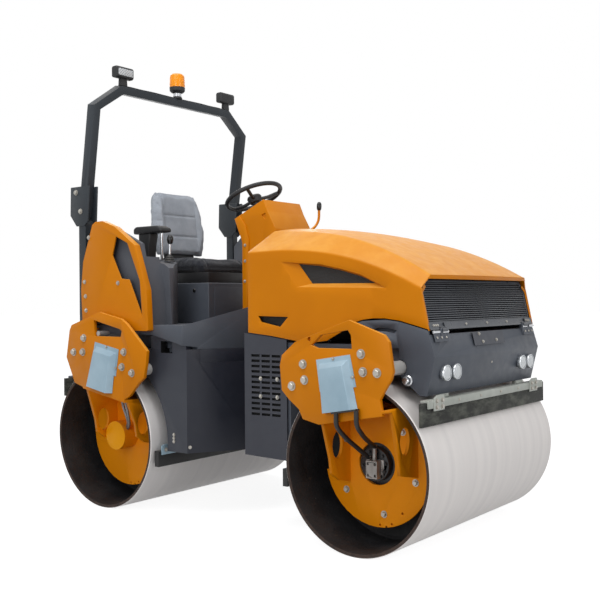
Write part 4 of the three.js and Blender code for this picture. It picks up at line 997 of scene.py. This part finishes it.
def hood_ring(ahead, wall, floor):
    side_up, set_in, crease_up, roof_up = through(hood_knots, ahead)
    half = hood_half - wall
    foot, shoulder = (half, floor), (half, side_up - wall * 0.6)
    crease, middle = (hood_half - set_in - wall * 0.6, crease_up - wall), (0, roof_up - wall)
    ring = [(half, floor + (side_up - floor) * t) for t in np.linspace(0, 0.9, 6)]
    ring += eased(foot, shoulder, crease, 0.009, 4)
    ring += [np.array(shoulder) + (np.array(crease) - np.array(shoulder)) * t
             for t in (0.25, 0.5, 0.75)]
    ring += eased(shoulder, crease, (0, crease_up - wall), 0.012, 4)
    reach = ring[-1][0]
    drop = middle[1] - ring[-1][1]
    ring += [(reach * (1 - t), ring[-1][1] + drop * (1 - (1 - t) ** 2))
             for t in np.linspace(0.12, 1, 8)]
    return mirrored(ring)


def hood_body(name, wall, floor, sections):
    return lofted(name, [[(hinge_x + ahead, y, hinge_z + z)
                          for y, z in hood_ring(ahead, wall, floor)] for ahead in sections],
                  YELLOW)


def hood_line(points):
    return [(hinge_x - back, hinge_z + up) for back, up in points]


vent_mouth = hood_line([(0.851, 0.330), (0.750, 0.204), (0.229, 0.193), (0.372, 0.2585),
                        (0.488, 0.2885), (0.607, 0.3125)])
vent_dark = hood_line([(0.755, 0.322), (0.669, 0.220), (0.289, 0.2165), (0.378, 0.2500),
                       (0.490, 0.2795), (0.607, 0.3025)])
low_vent = hood_line([(1.005, 0.061), (0.985, 0.031), (0.860, 0.007), (0.808, 0.057)])
lower_edge = hood_line([(1.132, -0.136), (1.132, -0.018), (1.072, -0.024), (0.922, -0.038),
                        (0.752, -0.061), (0.66, -0.066), (0.572, -0.056), (0.49, -0.014),
                        (0.422, 0.030), (0.362, 0.047), (0.30, 0.054), (0.237, 0.054),
                        (0.156, 0.044), (0.077, 0.024), (-0.078, -0.016), (-0.078, -0.136)])
front_edge = hood_line([(0.027, 0.364), (0.027, 0.248), (0.045, 0.192), (0.003, -0.006),
                        (-0.078, -0.006), (-0.078, 0.364)])
skin_foot, cavity_foot, past_sides = -0.086, -0.136, 0.6
hood = hood_body("hood_skin", 0.0, skin_foot, np.linspace(-1.072, 0.018, 36))
carve(hood, [hood_body("inside", hood_wall, cavity_foot, np.linspace(-1.066, 0.03, 36))]
      + [side_slab(name, outline, -past_sides, past_sides) for name, outline in (
          ("below", lower_edge), ("before", front_edge), ("vents", vent_mouth),
          ("low_vents", low_vent))])
edge = hood.modifiers.new("edge", "BEVEL")
edge.width, edge.segments = 0.0015, 2
edge.limit_method, edge.angle_limit = "ANGLE", math.radians(50)
fit(by_angle(settle(hood), 26), "hood", "yellow_paint", "hood_shell")


def black_mesh():
    """Woven wire painted black: small diamonds, with painted shade between them for the dark bay
    behind.
    """
    f = Finish("vent_mesh", 0.55, specular=0.35)
    x, z = f.axis("X"), f.axis("Z")
    up, down = (f.wave(f.maths(kind, x, z), 0.0085) for kind in ("ADD", "SUBTRACT"))
    wire = f.maths("MAXIMUM", up, down)
    f.colour(f.mix(f.ramp(wire, 0.55, 0.8), (9, 9, 10), (62, 62, 62)))
    f.bump(wire, 0.002)
    return f.material


MESH = black_mesh()
sunk, surround_wall = 0.532, 0.006
for side in (-1, 1):
    rings = [(vent_mouth, hood_half - 0.0005), (vent_dark, sunk),
             (vent_dark, sunk - surround_wall), (vent_mouth, hood_half - 0.007)]
    surround = lofted(f"vent_surround_{side + 1}", [[(x, side * y, z) for x, z in outline]
                                                    for outline, y in rings], YELLOW, ring=True)
    fit(by_angle(surround, 30), "hood", "yellow_paint")
    for name, outline, inset in (("vent_mesh", vent_dark, 0.529),
                                 ("low_vent_mesh", low_vent, 0.526)):
        middle = np.mean(outline, axis=0)
        wide = [tuple(middle + (np.array(p) - middle) * 1.06) for p in outline]
        fit(side_slab(f"{name}_{side + 1}", wide, side * inset, side * (inset - 0.002), MESH),
            "hood", "black_metal")


# A narrow flange turned in along the front edge stiffens the skin beside the grille.
for side in (-1, 1):
    plate(f"hood_flange_{side + 1}", [(x, side * y, z) for x, y, z in (
        (1.2155, 0.5494, 1.036), (1.1785, 0.5494, 1.212), (1.1730, 0.5150, 1.2445),
        (1.1745, 0.5020, 1.2330), (1.1785, 0.5340, 1.206), (1.2155, 0.5340, 1.036))],
        (-0.0028, 0, 0), YELLOW, 0.001, "hood", "yellow_paint")
plate("hood_front_lip", [(1.1948, y, z) for y, z in (
    (-0.497, 1.2875), (0.497, 1.2875), (0.506, 1.2680), (-0.506, 1.2680))], (-0.004, 0, 0),
    YELLOW, 0.0012, "hood", "yellow_paint")


# ------------------------------------------------------------------ grille
# A leaning frame in the hood's mouth holds thin rolled slats over a near-black sheet, painted
# shade for the bay behind. Below it a plain strip carries the hinge screws, and two hinge
# barrels turn on the end panel's pins.
GRILLE = coat("grille_black", (72, 76, 83), (56, 60, 66), 0.32, dust_and_top_light=(110, 108, 104))


def slat_tree():
    """Lays one rolled slat, of oval section, on each seat, as long as the seat's own reach."""
    t = Growth("grille_slats", "Depth", "Height", "Tilt")
    bar = t.add("GeometryNodeMeshCylinder", {"Vertices": 10, "Radius": 0.5, "Depth": 2.0})
    reach = t.add("GeometryNodeInputNamedAttribute", {"Name": "reach"}, "Attribute",
                  data_type="FLOAT")
    return t.settled(t.add("GeometryNodeInstanceOnPoints", {
        "Points": t.given["Seats"],
        "Instance": t.add("GeometryNodeTransform", {"Geometry": bar,
                                                    "Rotation": (math.pi / 2, 0, 0)}),
        "Rotation": t.add("ShaderNodeCombineXYZ", {"Y": t.given["Tilt"]}),
        "Scale": t.add("ShaderNodeCombineXYZ", {"X": t.given["Depth"], "Y": reach,
                                                "Z": t.given["Height"]})}))


def on_grille(y, up, out):
    lean = math.radians(12)
    return (1.196 + out * math.cos(lean) - up * math.sin(lean), y,
            1.044 + out * math.sin(lean) + up * math.cos(lean))


def grille_slab(name, outline, out0, out1, material):
    low, high = Vector(on_grille(0, 0, out0)), Vector(on_grille(0, 0, out1))
    return slab(name, [on_grille(y, up, out0) for y, up in outline], high - low, material)


grille = grille_slab("grille_frame", [(-0.5412, 0.0), (0.5412, 0.0), (0.5412, 0.176),
                                      (0.498, 0.2245), (-0.498, 0.2245), (-0.5412, 0.176)],
                     0.0, 0.012, GRILLE)
carve(grille, [grille_slab("window", [(-0.524, 0.030), (0.524, 0.030), (0.524, 0.170),
                                      (0.487, 0.2135), (-0.487, 0.2135), (-0.524, 0.170)],
                           -0.01, 0.02, GRILLE)])
fit(eased_edges(grille, 0.0012, 1), "hood", "black_plastic", "grille")
# A near-black sheet behind the slats: painted shade for the bay behind them.
shade_sheet = grille_slab("grille_shade_sheet", [(-0.53, 0.020), (0.53, 0.020), (0.53, 0.172),
                                     (0.49, 0.2180), (-0.49, 0.2180), (-0.53, 0.172)],
                    0.0002, 0.0012, SHADE_BLACK)
fit(shade_sheet, "hood", "black_metal")
rows = np.arange(0.0355, 0.213, 0.0102)
slats = new_piece("grille_slats", [on_grille(0, up, 0.0068) for up in rows], [])
reach = slats.data.attributes.new("reach", "FLOAT", "POINT")
reach.data.foreach_set("value", [0.525 - max(0.0, up - 0.170) * 0.85 for up in rows])
grown(slats, slat_tree(), {"Depth": 0.0092, "Height": 0.0050, "Tilt": math.radians(28),
                           "Finish": GRILLE})
fit(by_angle(slats, 60), "hood", "black_plastic")
for name, y0, y1 in (("right", -0.5412, -0.458), ("middle", -0.402, 0.402),
                     ("left", 0.458, 0.5412)):
    plate(f"grille_strip_{name}", [(x, y0, z) for x, z in (
        (1.2088, 1.0715), (1.2155, 1.0480), (1.2228, 1.0395), (1.2214, 1.0382),
        (1.2130, 1.0470), (1.2066, 1.0710))], (0, y1 - y0, 0), GRILLE, 0.0006, "hood",
        "black_plastic", segments=1)
bolts("grille_strip_screws", "hood",
      [((1.2126, y, 1.0580), (0.962, 0, 0.274))
       for y in (-0.503, -0.484, -0.466, -0.197, 0.018, 0.238, 0.466, 0.484, 0.503)],
      head=0.0048, high=0.004, washer=0.0066, thin=0.001)
hinge_y, hinge_wide = 0.430, 0.046
for side in (-1, 1):
    edge = side * hinge_y - hinge_wide / 2
    barrel = spun(f"hood_hinge_{side + 1}", [
        (0.0085, 0.0), (0.0122, 0.0), (0.013, 0.001), (0.013, hinge_wide - 0.001),
        (0.0122, hinge_wide), (0.0085, hinge_wide)], (hinge_x, edge, hinge_z), (0, 1, 0), 24,
        GRILLE)
    strap = side_slab(f"hood_hinge_strap_{side + 1}", [
        (1.198, 1.040), (1.218, 1.040), (1.218, 1.0485), (1.2085, 1.056), (1.198, 1.056)],
        edge, edge + hinge_wide, GRILLE)
    fit(barrel, "hood", "black_plastic")
    fit(strap, "hood", "black_plastic")


# ------------------------------------------------------------------ seat
# A sliding operator's seat: a moulded foam cushion with raised side bolsters, and a backrest
# with a grey cover, both padded over a steel pan. Each pad swells a little inside its seams.
def seat_cloth(name, base, other, thread):
    f = Finish(name, 0.85, specular=0.2)
    f.shader.inputs["Sheen Weight"].default_value = 0.25
    shade = f.mix(f.ramp(f.noise(9, 4), 0.3, 0.7), base, other)
    warp = f.wave(f.maths("ADD", f.axis("X"), f.axis("Z")), thread)
    weave = f.maths("MULTIPLY", warp, f.wave(f.axis("Y"), thread))
    f.colour(shade)
    f.rough(f.ramp(weave, -1, 1, 0.78, 0.92))
    f.bump(weave, 0.0006, 0.6)
    return f.material


def places_of(pad):
    places = np.empty(len(pad.data.vertices) * 3)
    pad.data.vertices.foreach_get("co", places)
    return places.reshape(-1, 3)


def swelled(name, loops):
    """A pad: the closed shape is remeshed, blown up as cloth, capped and smoothed."""
    cap, frames = 0.012, 20
    pad = lofted(name, loops)
    remesh = pad.modifiers.new("remesh", "REMESH")
    remesh.mode, remesh.voxel_size = "VOXEL", 0.006
    settle(pad)
    flat = places_of(pad)
    cloth = pad.modifiers.new("cloth", "CLOTH")
    force = cloth.settings
    force.use_pressure, force.uniform_pressure_force = True, 4.0
    force.effector_weights.gravity = 0
    force.tension_stiffness = force.compression_stiffness = 30
    force.bending_stiffness = 2
    cloth.point_cache.frame_start, cloth.point_cache.frame_end = 1, frames
    for step in range(1, frames + 1):
        scene.frame_set(step)
    settle(pad)
    scene.frame_set(1)
    move = places_of(pad) - flat
    reach = np.linalg.norm(move, axis=1, keepdims=True)
    move *= np.minimum(1, cap / np.maximum(reach, 1e-9))
    pad.data.vertices.foreach_set("co", (flat + move).ravel())
    smooth = pad.modifiers.new("smooth", "SMOOTH")
    smooth.factor, smooth.iterations = 0.5, 6
    return settle(pad)


def pressed(pad, pull):
    """Seams and panels: pull takes an array of points and gives how far each sinks."""
    mesh, places = pad.data, places_of(pad)
    normals = np.array([v.normal for v in mesh.vertices])
    mesh.vertices.foreach_set("co", (places - normals * pull(places)[:, None]).ravel())
    mesh.update()
    mesh.polygons.foreach_set("use_smooth", [True] * len(mesh.polygons))


def groove(distance, width, depth):
    return depth * np.exp(-(distance / width) ** 2)


def finished(pad, cloth, body, node):
    pad.data.materials.append(cloth)
    fit(pad, body, "seat_cloth", node)


CUSHION = seat_cloth("cushion_vinyl", (46, 49, 56), (36, 38, 44), 0.0022)
BACK = seat_cloth("backrest_cover", (176, 182, 190), (150, 156, 166), 0.0022)
low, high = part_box("seat_cushion")
front, rear, foot = high.x, low.x, low.z


def cushion_station(x, half, middle, bolster):
    """The cushion's outline at x, from its half width and the heights of its middle and sides."""
    return [(x, y, foot + z) for y, z in mirrored([
        (-half + 0.012, 0.010), (-half, 0.034), (-half + 0.010, bolster - 0.006),
        (-half + 0.045, bolster), (-half + 0.085, middle + 0.004), (0, middle)])]


pad = swelled("seat_cushion_pad", [cushion_station(*station) for station in (
    (rear + 0.018, 0.205, 0.074, 0.078), (rear + 0.09, 0.215, 0.068, 0.082),
    (rear + 0.19, 0.222, 0.064, 0.082), (front - 0.10, 0.222, 0.068, 0.080),
    (front - 0.045, 0.214, 0.070, 0.076), (front - 0.014, 0.198, 0.052, 0.056))])
seam_y, seam_x = 0.150, front - 0.10
pressed(pad, lambda p: np.where(
    p[:, 2] > foot + 0.04,
    groove(np.abs(p[:, 1]) - seam_y, 0.006, 0.006)
    + groove(p[:, 0] - seam_x, 0.006, 0.005) * (np.abs(p[:, 1]) < seam_y), 0)
    + groove(p[:, 2] - (foot + 0.030), 0.004, 0.003))
finished(pad, CUSHION, "seat", "seat_cushion")

low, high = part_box("seat_backrest")
back_foot, back_top, back_rear = low.z + 0.035, high.z - 0.012, low.x + 0.045


def back_level(z, half, behind, middle, bolster):
    """The backrest's outline at z: half width, rear face, and the front's middle and sides."""
    lean = math.tan(math.radians(6))
    return [(back_rear - (z - back_foot) * lean + x, y, z) for y, x in mirrored([
        (-half + 0.02, behind - 0.03), (-half, behind), (-half + 0.012, bolster - 0.045),
        (-half + 0.05, bolster - 0.035), (-half + 0.09, middle - 0.035), (0, middle - 0.04)])]


pad = swelled("seat_back_pad", [back_level(*level) for level in (
    (back_foot + 0.006, 0.196, 0.030, 0.082, 0.088),
    (back_foot + 0.06, 0.212, 0.022, 0.080, 0.092),
    (back_foot + 0.17, 0.222, 0.018, 0.076, 0.096),
    (back_foot + 0.28, 0.214, 0.018, 0.070, 0.088),
    (back_foot + 0.37, 0.196, 0.018, 0.062, 0.070),
    (back_top - 0.02, 0.172, 0.022, 0.050, 0.052))])
seam_y = 0.135
pressed(pad, lambda p: groove(np.abs(p[:, 1]) - seam_y, 0.006, 0.006)
        + sum(groove(p[:, 2] - (back_foot + up), 0.006, 0.005) for up in (0.13, 0.26))
        * (np.abs(p[:, 1]) < seam_y))
finished(pad, BACK, "backrest", "seat_backrest")

bracket = side_slab("recline_bracket", [(-0.930, 1.415), (-0.908, 1.415), (-0.908, 1.470),
                                        (-0.925, 1.505), (-0.945, 1.505)], -0.118, 0.118,
                    BLACK_METAL)
edge = bracket.modifiers.new("edge", "BEVEL")
edge.width, edge.segments = 0.003, 2
fit(by_angle(settle(bracket)), "backrest", "black_metal")


# ------------------------------------------------------------------ tank, deck and fenders
# The moulded water and fuel tank sits under a folded grey deck. Yellow fender plates stand on
# it over the rear drum, each with a cut window and a turned rim, screwed to a grey box.
TANK = coat("tank_grey", (60, 63, 71), (48, 51, 60), 0.4, gleam=0.3)
tank = solid_copy("water_and_fuel_tank", "rear_tank", TANK, SHADE_BLACK, PAINTED_SHADE_GREY, RUBBER, TUBE)
carve(tank, [side_slab(f"shoulder_{side}", [(-0.520, 0.900), (-0.252, 0.900), (-0.252, 0.975),
                                            (-0.520, 1.000)], side * 0.560, side * 0.5995)
             for side in (-1, 1)], "UNION")
eased_edges(tank, 0.006, 3)
carve(tank, [side_slab(f"lashing_hole_{side}", [(-0.445, 0.957), (-0.355, 0.957), (-0.355, 0.893),
                                                (-0.445, 0.893)], side * 0.50, side * 0.69)
             for side in (-1, 1)])
# The tank's forward faces take the darker grey, as painted shade.
for face in tank.data.polygons:
    if face.normal.x > 0.3 and face.center.x > -0.34:
        face.material_index = 2
# The lashing holes' inner faces are painted near-black, as painted shade.
paint_where(tank, 1, lambda c: -0.4455 < c.x < -0.3545 and 0.8925 < c.z < 0.9575
            and 0.49 < abs(c.y) < 0.592)
paint_where(tank, 3, lambda c: -0.475 < c.x < -0.43 and c.z < 0.3615)
paint_where(tank, 4, lambda c: math.hypot(c.x + 0.545, c.z - 0.80) < 0.0335 and abs(c.y) > 0.601)
fit(by_angle(tank, 30), "rear_unit", "tank_grey", "rear_tank")
rounded("deck_plate", "operator_deck", "rear_unit", "dark_grey_paint", DARK, 0.004)
seats = [((x, side * 0.6002, z), (0, side, 0)) for side in (-1, 1)
         for x, z in ((-0.347, 0.453), (-0.348, 0.4345), (-0.348, 0.416))]
seats += [((-0.2395, side * 0.5869, 0.3926), (0.866, side * 0.5, 0)) for side in (-1, 1)]
bolts("tank_screws", "rear_unit", seats, 0.007, 0.005, 0.0095, 0.0014)
for side in (-1, 1):
    plate(f"wiper_bracket_{side + 1}", [(-0.4395, side * y, z) for y, z in (
        (0.480, 0.336), (0.610, 0.336), (0.610, 0.385), (0.590, 0.392), (0.480, 0.392))],
        (0.007, 0, 0), ZINC, 0.002, "rear_unit", "zinc_plate")
bolts("wiper_bracket_bolts", "rear_unit",
      [((-0.4325, side * y, 0.362), (1, 0, 0)) for side in (-1, 1) for y in (0.510, 0.580)],
      0.0085, 0.006, 0.012, 0.0015)
# some corners of the fender's cut window and foot are moved, along and up from its own corner
fender_corners = {(0.490, 0.467): (0.461, 0.441), (0.480, 0.459): (0.451, 0.433),
                  (0.433, 0.463): (0.401, 0.454), (0.520, 0.105): (0.518, 0.045)}
for hand, side in HANDS:
    fender, near = solid_copy(f"fender_plate_{hand}", f"fender_{hand}", YELLOW), 0.003
    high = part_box(f"fender_{hand}")[1]
    pin, foot = high.x - 0.565, high.z - 0.589
    for vertex in fender.data.vertices:
        for (x, z), (to_x, to_z) in fender_corners.items():
            if abs(vertex.co.x - pin - x) < near and abs(vertex.co.z - foot - z) < near:
                vertex.co.x, vertex.co.z = pin + to_x, foot + to_z
    eased_edges(fender, 0.004, 3)
    carve(fender, [side_slab("notch", [(-0.940, 0.95), (-0.675, 0.95), (-0.675, 1.058),
                                      (-0.900, 1.072), (-0.940, 1.072)],
                            side * 0.612, side * 0.67)])
    fit(by_angle(fender, 35), "rear_unit", "yellow_paint", f"fender_{hand}")
    tie = spun(f"bracket_tie_{hand}", [(0.0, 0.0), (0.014, 0.0), (0.014, 0.070), (0.0, 0.070)],
               (-0.862, side * 0.6195, 0.995), (0, side, 0), 20, TUBE)
    fit(tie, "rear_unit", "bright_steel")
    bolts(f"fender_bolts_{hand}", "rear_unit",
          [((x, side * 0.66, z), (0, side, 0))
           for x, z in ((-1.014, 1.290), (-1.006, 1.207), (-1.002, 1.125), (-0.723, 1.279),
                        (-0.974, 1.545))],
          head=0.0085, high=0.007, washer=0.0125, thin=0.002)


# ------------------------------------------------------------------ side consoles
# Moulded grey boxes with generous corners and a lowered top, one on each side of the seat,
# bolted down beside the fenders.
CONSOLE = coat("console_grey", (84, 87, 94), (70, 73, 80), 0.55, grain=0.8)
for hand, side in HANDS:
    box = solid_copy(f"console_{hand}", f"side_console_{hand}", CONSOLE)
    carve(box, [side_slab("above", [(-1.10, 1.424), (-0.40, 1.424), (-0.40, 1.70),
                                    (-1.10, 1.70)], side * 0.45, side * 0.596)])
    fit(eased_edges(box, 0.010, 4), "rear_unit", "dark_grey_paint", f"side_console_{hand}")


# ------------------------------------------------------------------ controls
# A folded yellow stand with bent cheeks carries the wheel. The drive lever comes up beside it
# through a rubber boot.
PLASTIC = coat("black_plastic", (36, 37, 39), (28, 29, 31), 0.55, grain=0.8)
KNOB = coat("knob_plastic", (22, 22, 23), (16, 16, 17), 0.25, grain=0.1)
stand = eased_edges(solid_copy("steering_stand", "steering_console", YELLOW), 0.006, 3)
carve(stand, [side_slab("slot", [(-0.090, 1.655), (-0.060, 1.668), (-0.052, 1.640),
                                 (-0.066, 1.630)], side * 0.158, side * 0.17)
              for side in (-1, 1)])
fit(by_angle(stand, 30), "rear_unit", "yellow_paint", "steering_console")
for side in (-1, 1):
    plate(f"stand_cheek_{side + 1}", [(x, side * 0.1655, z) for x, z in (
        (-0.286, 1.640), (-0.250, 1.658), (-0.205, 1.600), (-0.180, 1.520), (-0.196, 1.060),
        (-0.232, 1.060), (-0.218, 1.470), (-0.238, 1.530))], (0, side * 0.006, 0), YELLOW,
        0.0015, "rear_unit", "yellow_paint")
bolts("stand_screws", "rear_unit",
      [((x, side * 0.1715, z), (0, side, 0)) for side in (-1, 1)
       for x, z in ((-0.207, 1.490), (-0.208, 1.400), (-0.211, 1.285), (-0.214, 1.120))],
      head=0.0065, high=0.005, washer=0.009, thin=0.0014)
lever_path = smooth_path([(-0.022, 0.176, 1.552), (-0.018, 0.190, 1.580), (-0.008, 0.232, 1.615),
                          (0.000, 0.248, 1.650), (0.002, 0.252, 1.715)], 26)
lever = tube("drive_lever", lever_path, 0.0078, YELLOW, 14)
grip = spun("drive_lever_knob", [
    (0.0, 0.0), (0.010, 0.0), (0.0135, 0.008), (0.0150, 0.020), (0.0145, 0.034), (0.0115, 0.044),
    (0.006, 0.049), (0.0, 0.050)], lever_path[-2], (0.02, 0.02, 1), 24, KNOB)
boot = spun("drive_lever_boot", [
    (0.0, 0.0), (0.020, 0.0), (0.021, 0.004), (0.016, 0.009), (0.018, 0.013), (0.013, 0.018),
    (0.014, 0.022), (0.009, 0.027), (0.0, 0.027)], (-0.022, 0.176, 1.545), (0, 0.1, 1), 24, PLASTIC)
for piece in (lever, grip, boot):
    fit(piece, "rear_unit", "yellow_paint" if piece is lever else "black_plastic", "travel_lever")


# ------------------------------------------------------------------ steering wheel
# A moulded black rim on three spokes, with a padded hub over the nut that holds it on the
# leaning steering shaft.
wheel_at, wheel_tilt = Vector((-0.2895, 0, 1.7871)), math.radians(23.86)
wheel_up = Vector((-math.sin(wheel_tilt), 0, math.cos(wheel_tilt)))
wheel_fore = Vector((math.cos(wheel_tilt), 0, math.sin(wheel_tilt)))


def on_wheel(turn, reach, up=0.0):
    return (wheel_at + (wheel_fore * math.cos(turn) + Vector((0, 1, 0)) * math.sin(turn)) * reach
            + wheel_up * up)


rim = spun("wheel_rim", ellipse(0.164, 0, 0.0132, 0.0128, 16), wheel_at, wheel_up, 72, PLASTIC)
hub = spun("wheel_hub", [
    (0.0, -0.122), (0.020, -0.122), (0.020, -0.045), (0.034, -0.040), (0.040, -0.026),
    (0.044, -0.010), (0.040, -0.001), (0.028, 0.004), (0.0, 0.006)], wheel_at, wheel_up, 40,
    PLASTIC)
pieces = [rim, hub]
for turn in (math.pi, math.pi * 0.34, -math.pi * 0.34):
    path = smooth_path([on_wheel(turn, 0.030, -0.020), on_wheel(turn, 0.085, -0.017),
                        on_wheel(turn, 0.130, -0.007), on_wheel(turn, 0.163, 0.0)], 10)
    spoke = tube(f"wheel_spoke_{len(pieces)}", path, 0.0105, PLASTIC, 14)
    pieces.append(spoke)
for piece in pieces:
    fit(piece, "wheel", "black_plastic", "steering_wheel")


# ------------------------------------------------------------------ armrest and joystick
# A padded rest on a moulded box and a bright post, on the right console. The joystick stands
# ahead of it in a folded rubber boot.
plate("armrest", [(x, -0.4505, z) for x, z in (
    (-0.835, 1.566), (-0.835, 1.598), (-0.815, 1.610), (-0.640, 1.610), (-0.604, 1.596),
    (-0.600, 1.572))], (0, 0.088, 0), PLASTIC, 0.010, "rear_unit", "black_plastic",
    "control_box", segments=4)
plate("armrest_box", [(x, -0.440, z) for x, z in (
    (-0.800, 1.420), (-0.800, 1.568), (-0.700, 1.568), (-0.715, 1.500), (-0.722, 1.420))],
    (0, 0.066, 0), PLASTIC, 0.006, "rear_unit", "black_plastic", "control_box", segments=3)
post = spun("armrest_post", [(0.0, 0.0), (0.0078, 0.0), (0.0082, 0.001), (0.0082, 0.158),
                             (0.0, 0.158)], (-0.640, -0.4065, 1.410), (0, 0, 1), 20, BRIGHT)
fit(post, "rear_unit", "black_plastic", "control_box")
stick_at = (-0.578, -0.405, 1.402)
parts = [
    ("joystick_boot", [(0.0, 0.0), (0.030, 0.0), (0.031, 0.004), (0.024, 0.010), (0.026, 0.014),
                       (0.019, 0.021), (0.020, 0.025), (0.013, 0.033), (0.009, 0.042),
                       (0.0, 0.042)], PLASTIC),
    ("joystick_stem", [(0.0, 0.036), (0.007, 0.036), (0.007, 0.108), (0.0, 0.108)], BRIGHT),
    ("joystick_knob", [(0.0, 0.100), (0.010, 0.100), (0.016, 0.109), (0.019, 0.124),
                       (0.018, 0.140), (0.011, 0.150), (0.0, 0.152)], KNOB)]
for name, profile, material in parts:
    fit(spun(name, profile, stick_at, (0.05, 0, 1), 28, material), "rear_unit", "black_plastic")


# ------------------------------------------------------------------ seat stand
# A folded grey box under the seat's slides, screwed to the deck, with a door in front and a key
# lock in its side.
stand = eased_edges(solid_copy("seat_stand", "seat_pedestal", DARK, SHADE_BLACK), 0.006, 3)
fit(stand, "rear_unit", "dark_grey_paint", "seat_pedestal")
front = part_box("seat_pedestal")[1].x
plate("seat_stand_door", [(front, y, z) for y, z in (
    (-0.205, 1.085), (0.205, 1.085), (0.205, 1.255), (-0.205, 1.255))], (0.003, 0, 0), DARK,
    0.0012, "rear_unit", "dark_grey_paint")
lock = spun("seat_stand_lock", [(0.0, 0.0), (0.011, 0.0), (0.011, 0.004), (0.009, 0.006),
                                (0.0, 0.006)], (front - 0.115, -0.2495, 1.235), (0, -1, 0), 24,
            KNOB)
fit(lock, "rear_unit", "black_plastic")
rounded("seat_pan", "seat_base", "seat", "black_metal", BLACK_METAL, 0.004)


# ------------------------------------------------------------------ roll bar
# A folding two-post roll bar of square tube, mitred at the knees and hinged above its lower
# posts between thick cheeks, with a pin and bolts on each side.
ROPS = coat("rops_paint", (48, 54, 60), (40, 45, 50), 0.4, gleam=0.3)
for hand, side in HANDS:
    rounded(f"roll_bar_post_{hand}", f"rops_post_{hand}", "rear_unit", "rops_paint", ROPS, 0.004)
    bolts(f"roll_bar_bolts_{hand}", "rear_unit",
          [((x, side * 0.66, z), (0, side, 0)) for x, z in ((-1.045, 1.700), (-1.085, 1.812))],
          head=0.0115, high=0.009, washer=0.016)
rounded("roll_bar_hoop", "rops_frame", "roll_bar", "rops_paint", ROPS, 0.005, 3)


# ------------------------------------------------------------------ work lights and beacon
# Two bar-shaped LED work lights in black cases, one facing ahead and one astern, and an amber
# beacon on a black foot with a bright band, all standing on the crossbar.
def lit_cells():
    f = Finish("led_lens", 0.15, coat=0.5)
    cell = f.maths("MULTIPLY", f.wave(f.axis("Y"), 0.018), f.wave(f.axis("Z"), 0.018))
    f.colour(f.mix(f.ramp(cell, -1, 1), (150, 154, 158), (222, 225, 228)))
    f.bump(cell, 0.001, 0.8)
    return f.material


def amber_dome():
    f = Finish("amber_lens", 0.2, coat=0.2, specular=0.3)
    f.shader.inputs["Transmission Weight"].default_value = 0.12
    f.shader.inputs["Emission Color"].default_value = (*linear((255, 140, 0)), 1)
    f.shader.inputs["Emission Strength"].default_value = 0.08
    ribs = f.wave(f.axis("Z"), 0.006)
    f.colour(f.mix(f.ramp(ribs, -1, 1), (255, 164, 0), (246, 146, 0)))
    f.bump(ribs, 0.0003, 0.4)
    return f.material


LED, AMBER = lit_cells(), amber_dome()
for hand, way in (("right", 1), ("left", -1)):
    low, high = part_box(f"work_light_{hand}")
    y0, y1, middle = low.y, high.y, (low.y + high.y) / 2
    mid_x, top, node = (low.x + high.x) / 2, high.z, f"work_light_{hand}"
    plate(f"{node}_case", [(mid_x + x, y0, top + z) for x, z in (
        (-0.026, -0.060), (-0.026, -0.010), (-0.018, 0), (0.018, 0), (0.026, -0.010),
        (0.026, -0.060), (0.016, -0.068), (-0.016, -0.068))], (0, y1 - y0, 0), PLASTIC, 0.006,
        "roll_bar", "black_plastic", node, segments=3)
    plate(f"{node}_lens", [(mid_x + way * 0.0262, y, top + z) for y, z in (
        (y0 + 0.010, -0.054), (y1 - 0.010, -0.054), (y1 - 0.010, -0.014), (y0 + 0.010, -0.014))],
        (way * 0.002, 0, 0), LED, 0.0012, "roll_bar", "lamp_lens", node)
    plate(f"{node}_foot", [(mid_x + x, middle - 0.024, z) for x, z in (
        (-0.014, low.z), (0.014, low.z), (0.010, top - 0.060), (-0.010, top - 0.060))],
        (0, 0.048, 0), PLASTIC, 0.002, "roll_bar", "black_plastic", node)
low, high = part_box("beacon")
centre = ((low.x + high.x) / 2, 0, low.z)
tall = high.z - low.z
foot = spun("beacon_foot", [
    (0.0, 0.0), (0.030, 0.0), (0.031, 0.006), (0.026, 0.014), (0.025, 0.034), (0.040, 0.042),
    (0.0475, 0.050), (0.0485, 0.072), (0.0, 0.072)], centre, (0, 0, 1), 40, PLASTIC)
band = spun("beacon_band", [
    (0.0, 0.014), (0.0268, 0.014), (0.0262, 0.033), (0.0, 0.033)], centre, (0, 0, 1), 40, BRIGHT)
dome = spun("beacon_dome", [
    (0.0, 0.072), (0.0475, 0.072), (0.0485, 0.078), (0.0470, tall - 0.026),
    (0.0435, tall - 0.012), (0.035, tall - 0.004), (0.020, tall - 0.001), (0.0, tall)], centre,
    (0, 0, 1), 48, AMBER)
fit(foot, "roll_bar", "black_plastic", "beacon")
fit(band, "roll_bar", "bright_steel", "beacon")
fit(dome, "roll_bar", "amber_lens", "beacon")


# ------------------------------------------------------------------ lamp cables
# A thin black cable lies along the crossbar from each work light's foot to the beacon's. The
# bar leans back a little, so its top is followed from front to back.
bar_front, bar_top, bar_slope = -0.912, 2.4489, -0.139
for hand, side in HANDS:
    path = smooth_path([(x, side * y, bar_top + bar_slope * (x - bar_front) + 0.0031) for x, y in (
        (-0.932, 0.405), (-0.926, 0.370), (-0.932, 0.300), (-0.922, 0.200), (-0.929, 0.110),
        (-0.934, 0.030))], 30)
    cable = tube(f"lamp_cable_{hand}", path, 0.0033, RUBBER, 10)
    fit(cable, "roll_bar", "hose_rubber")
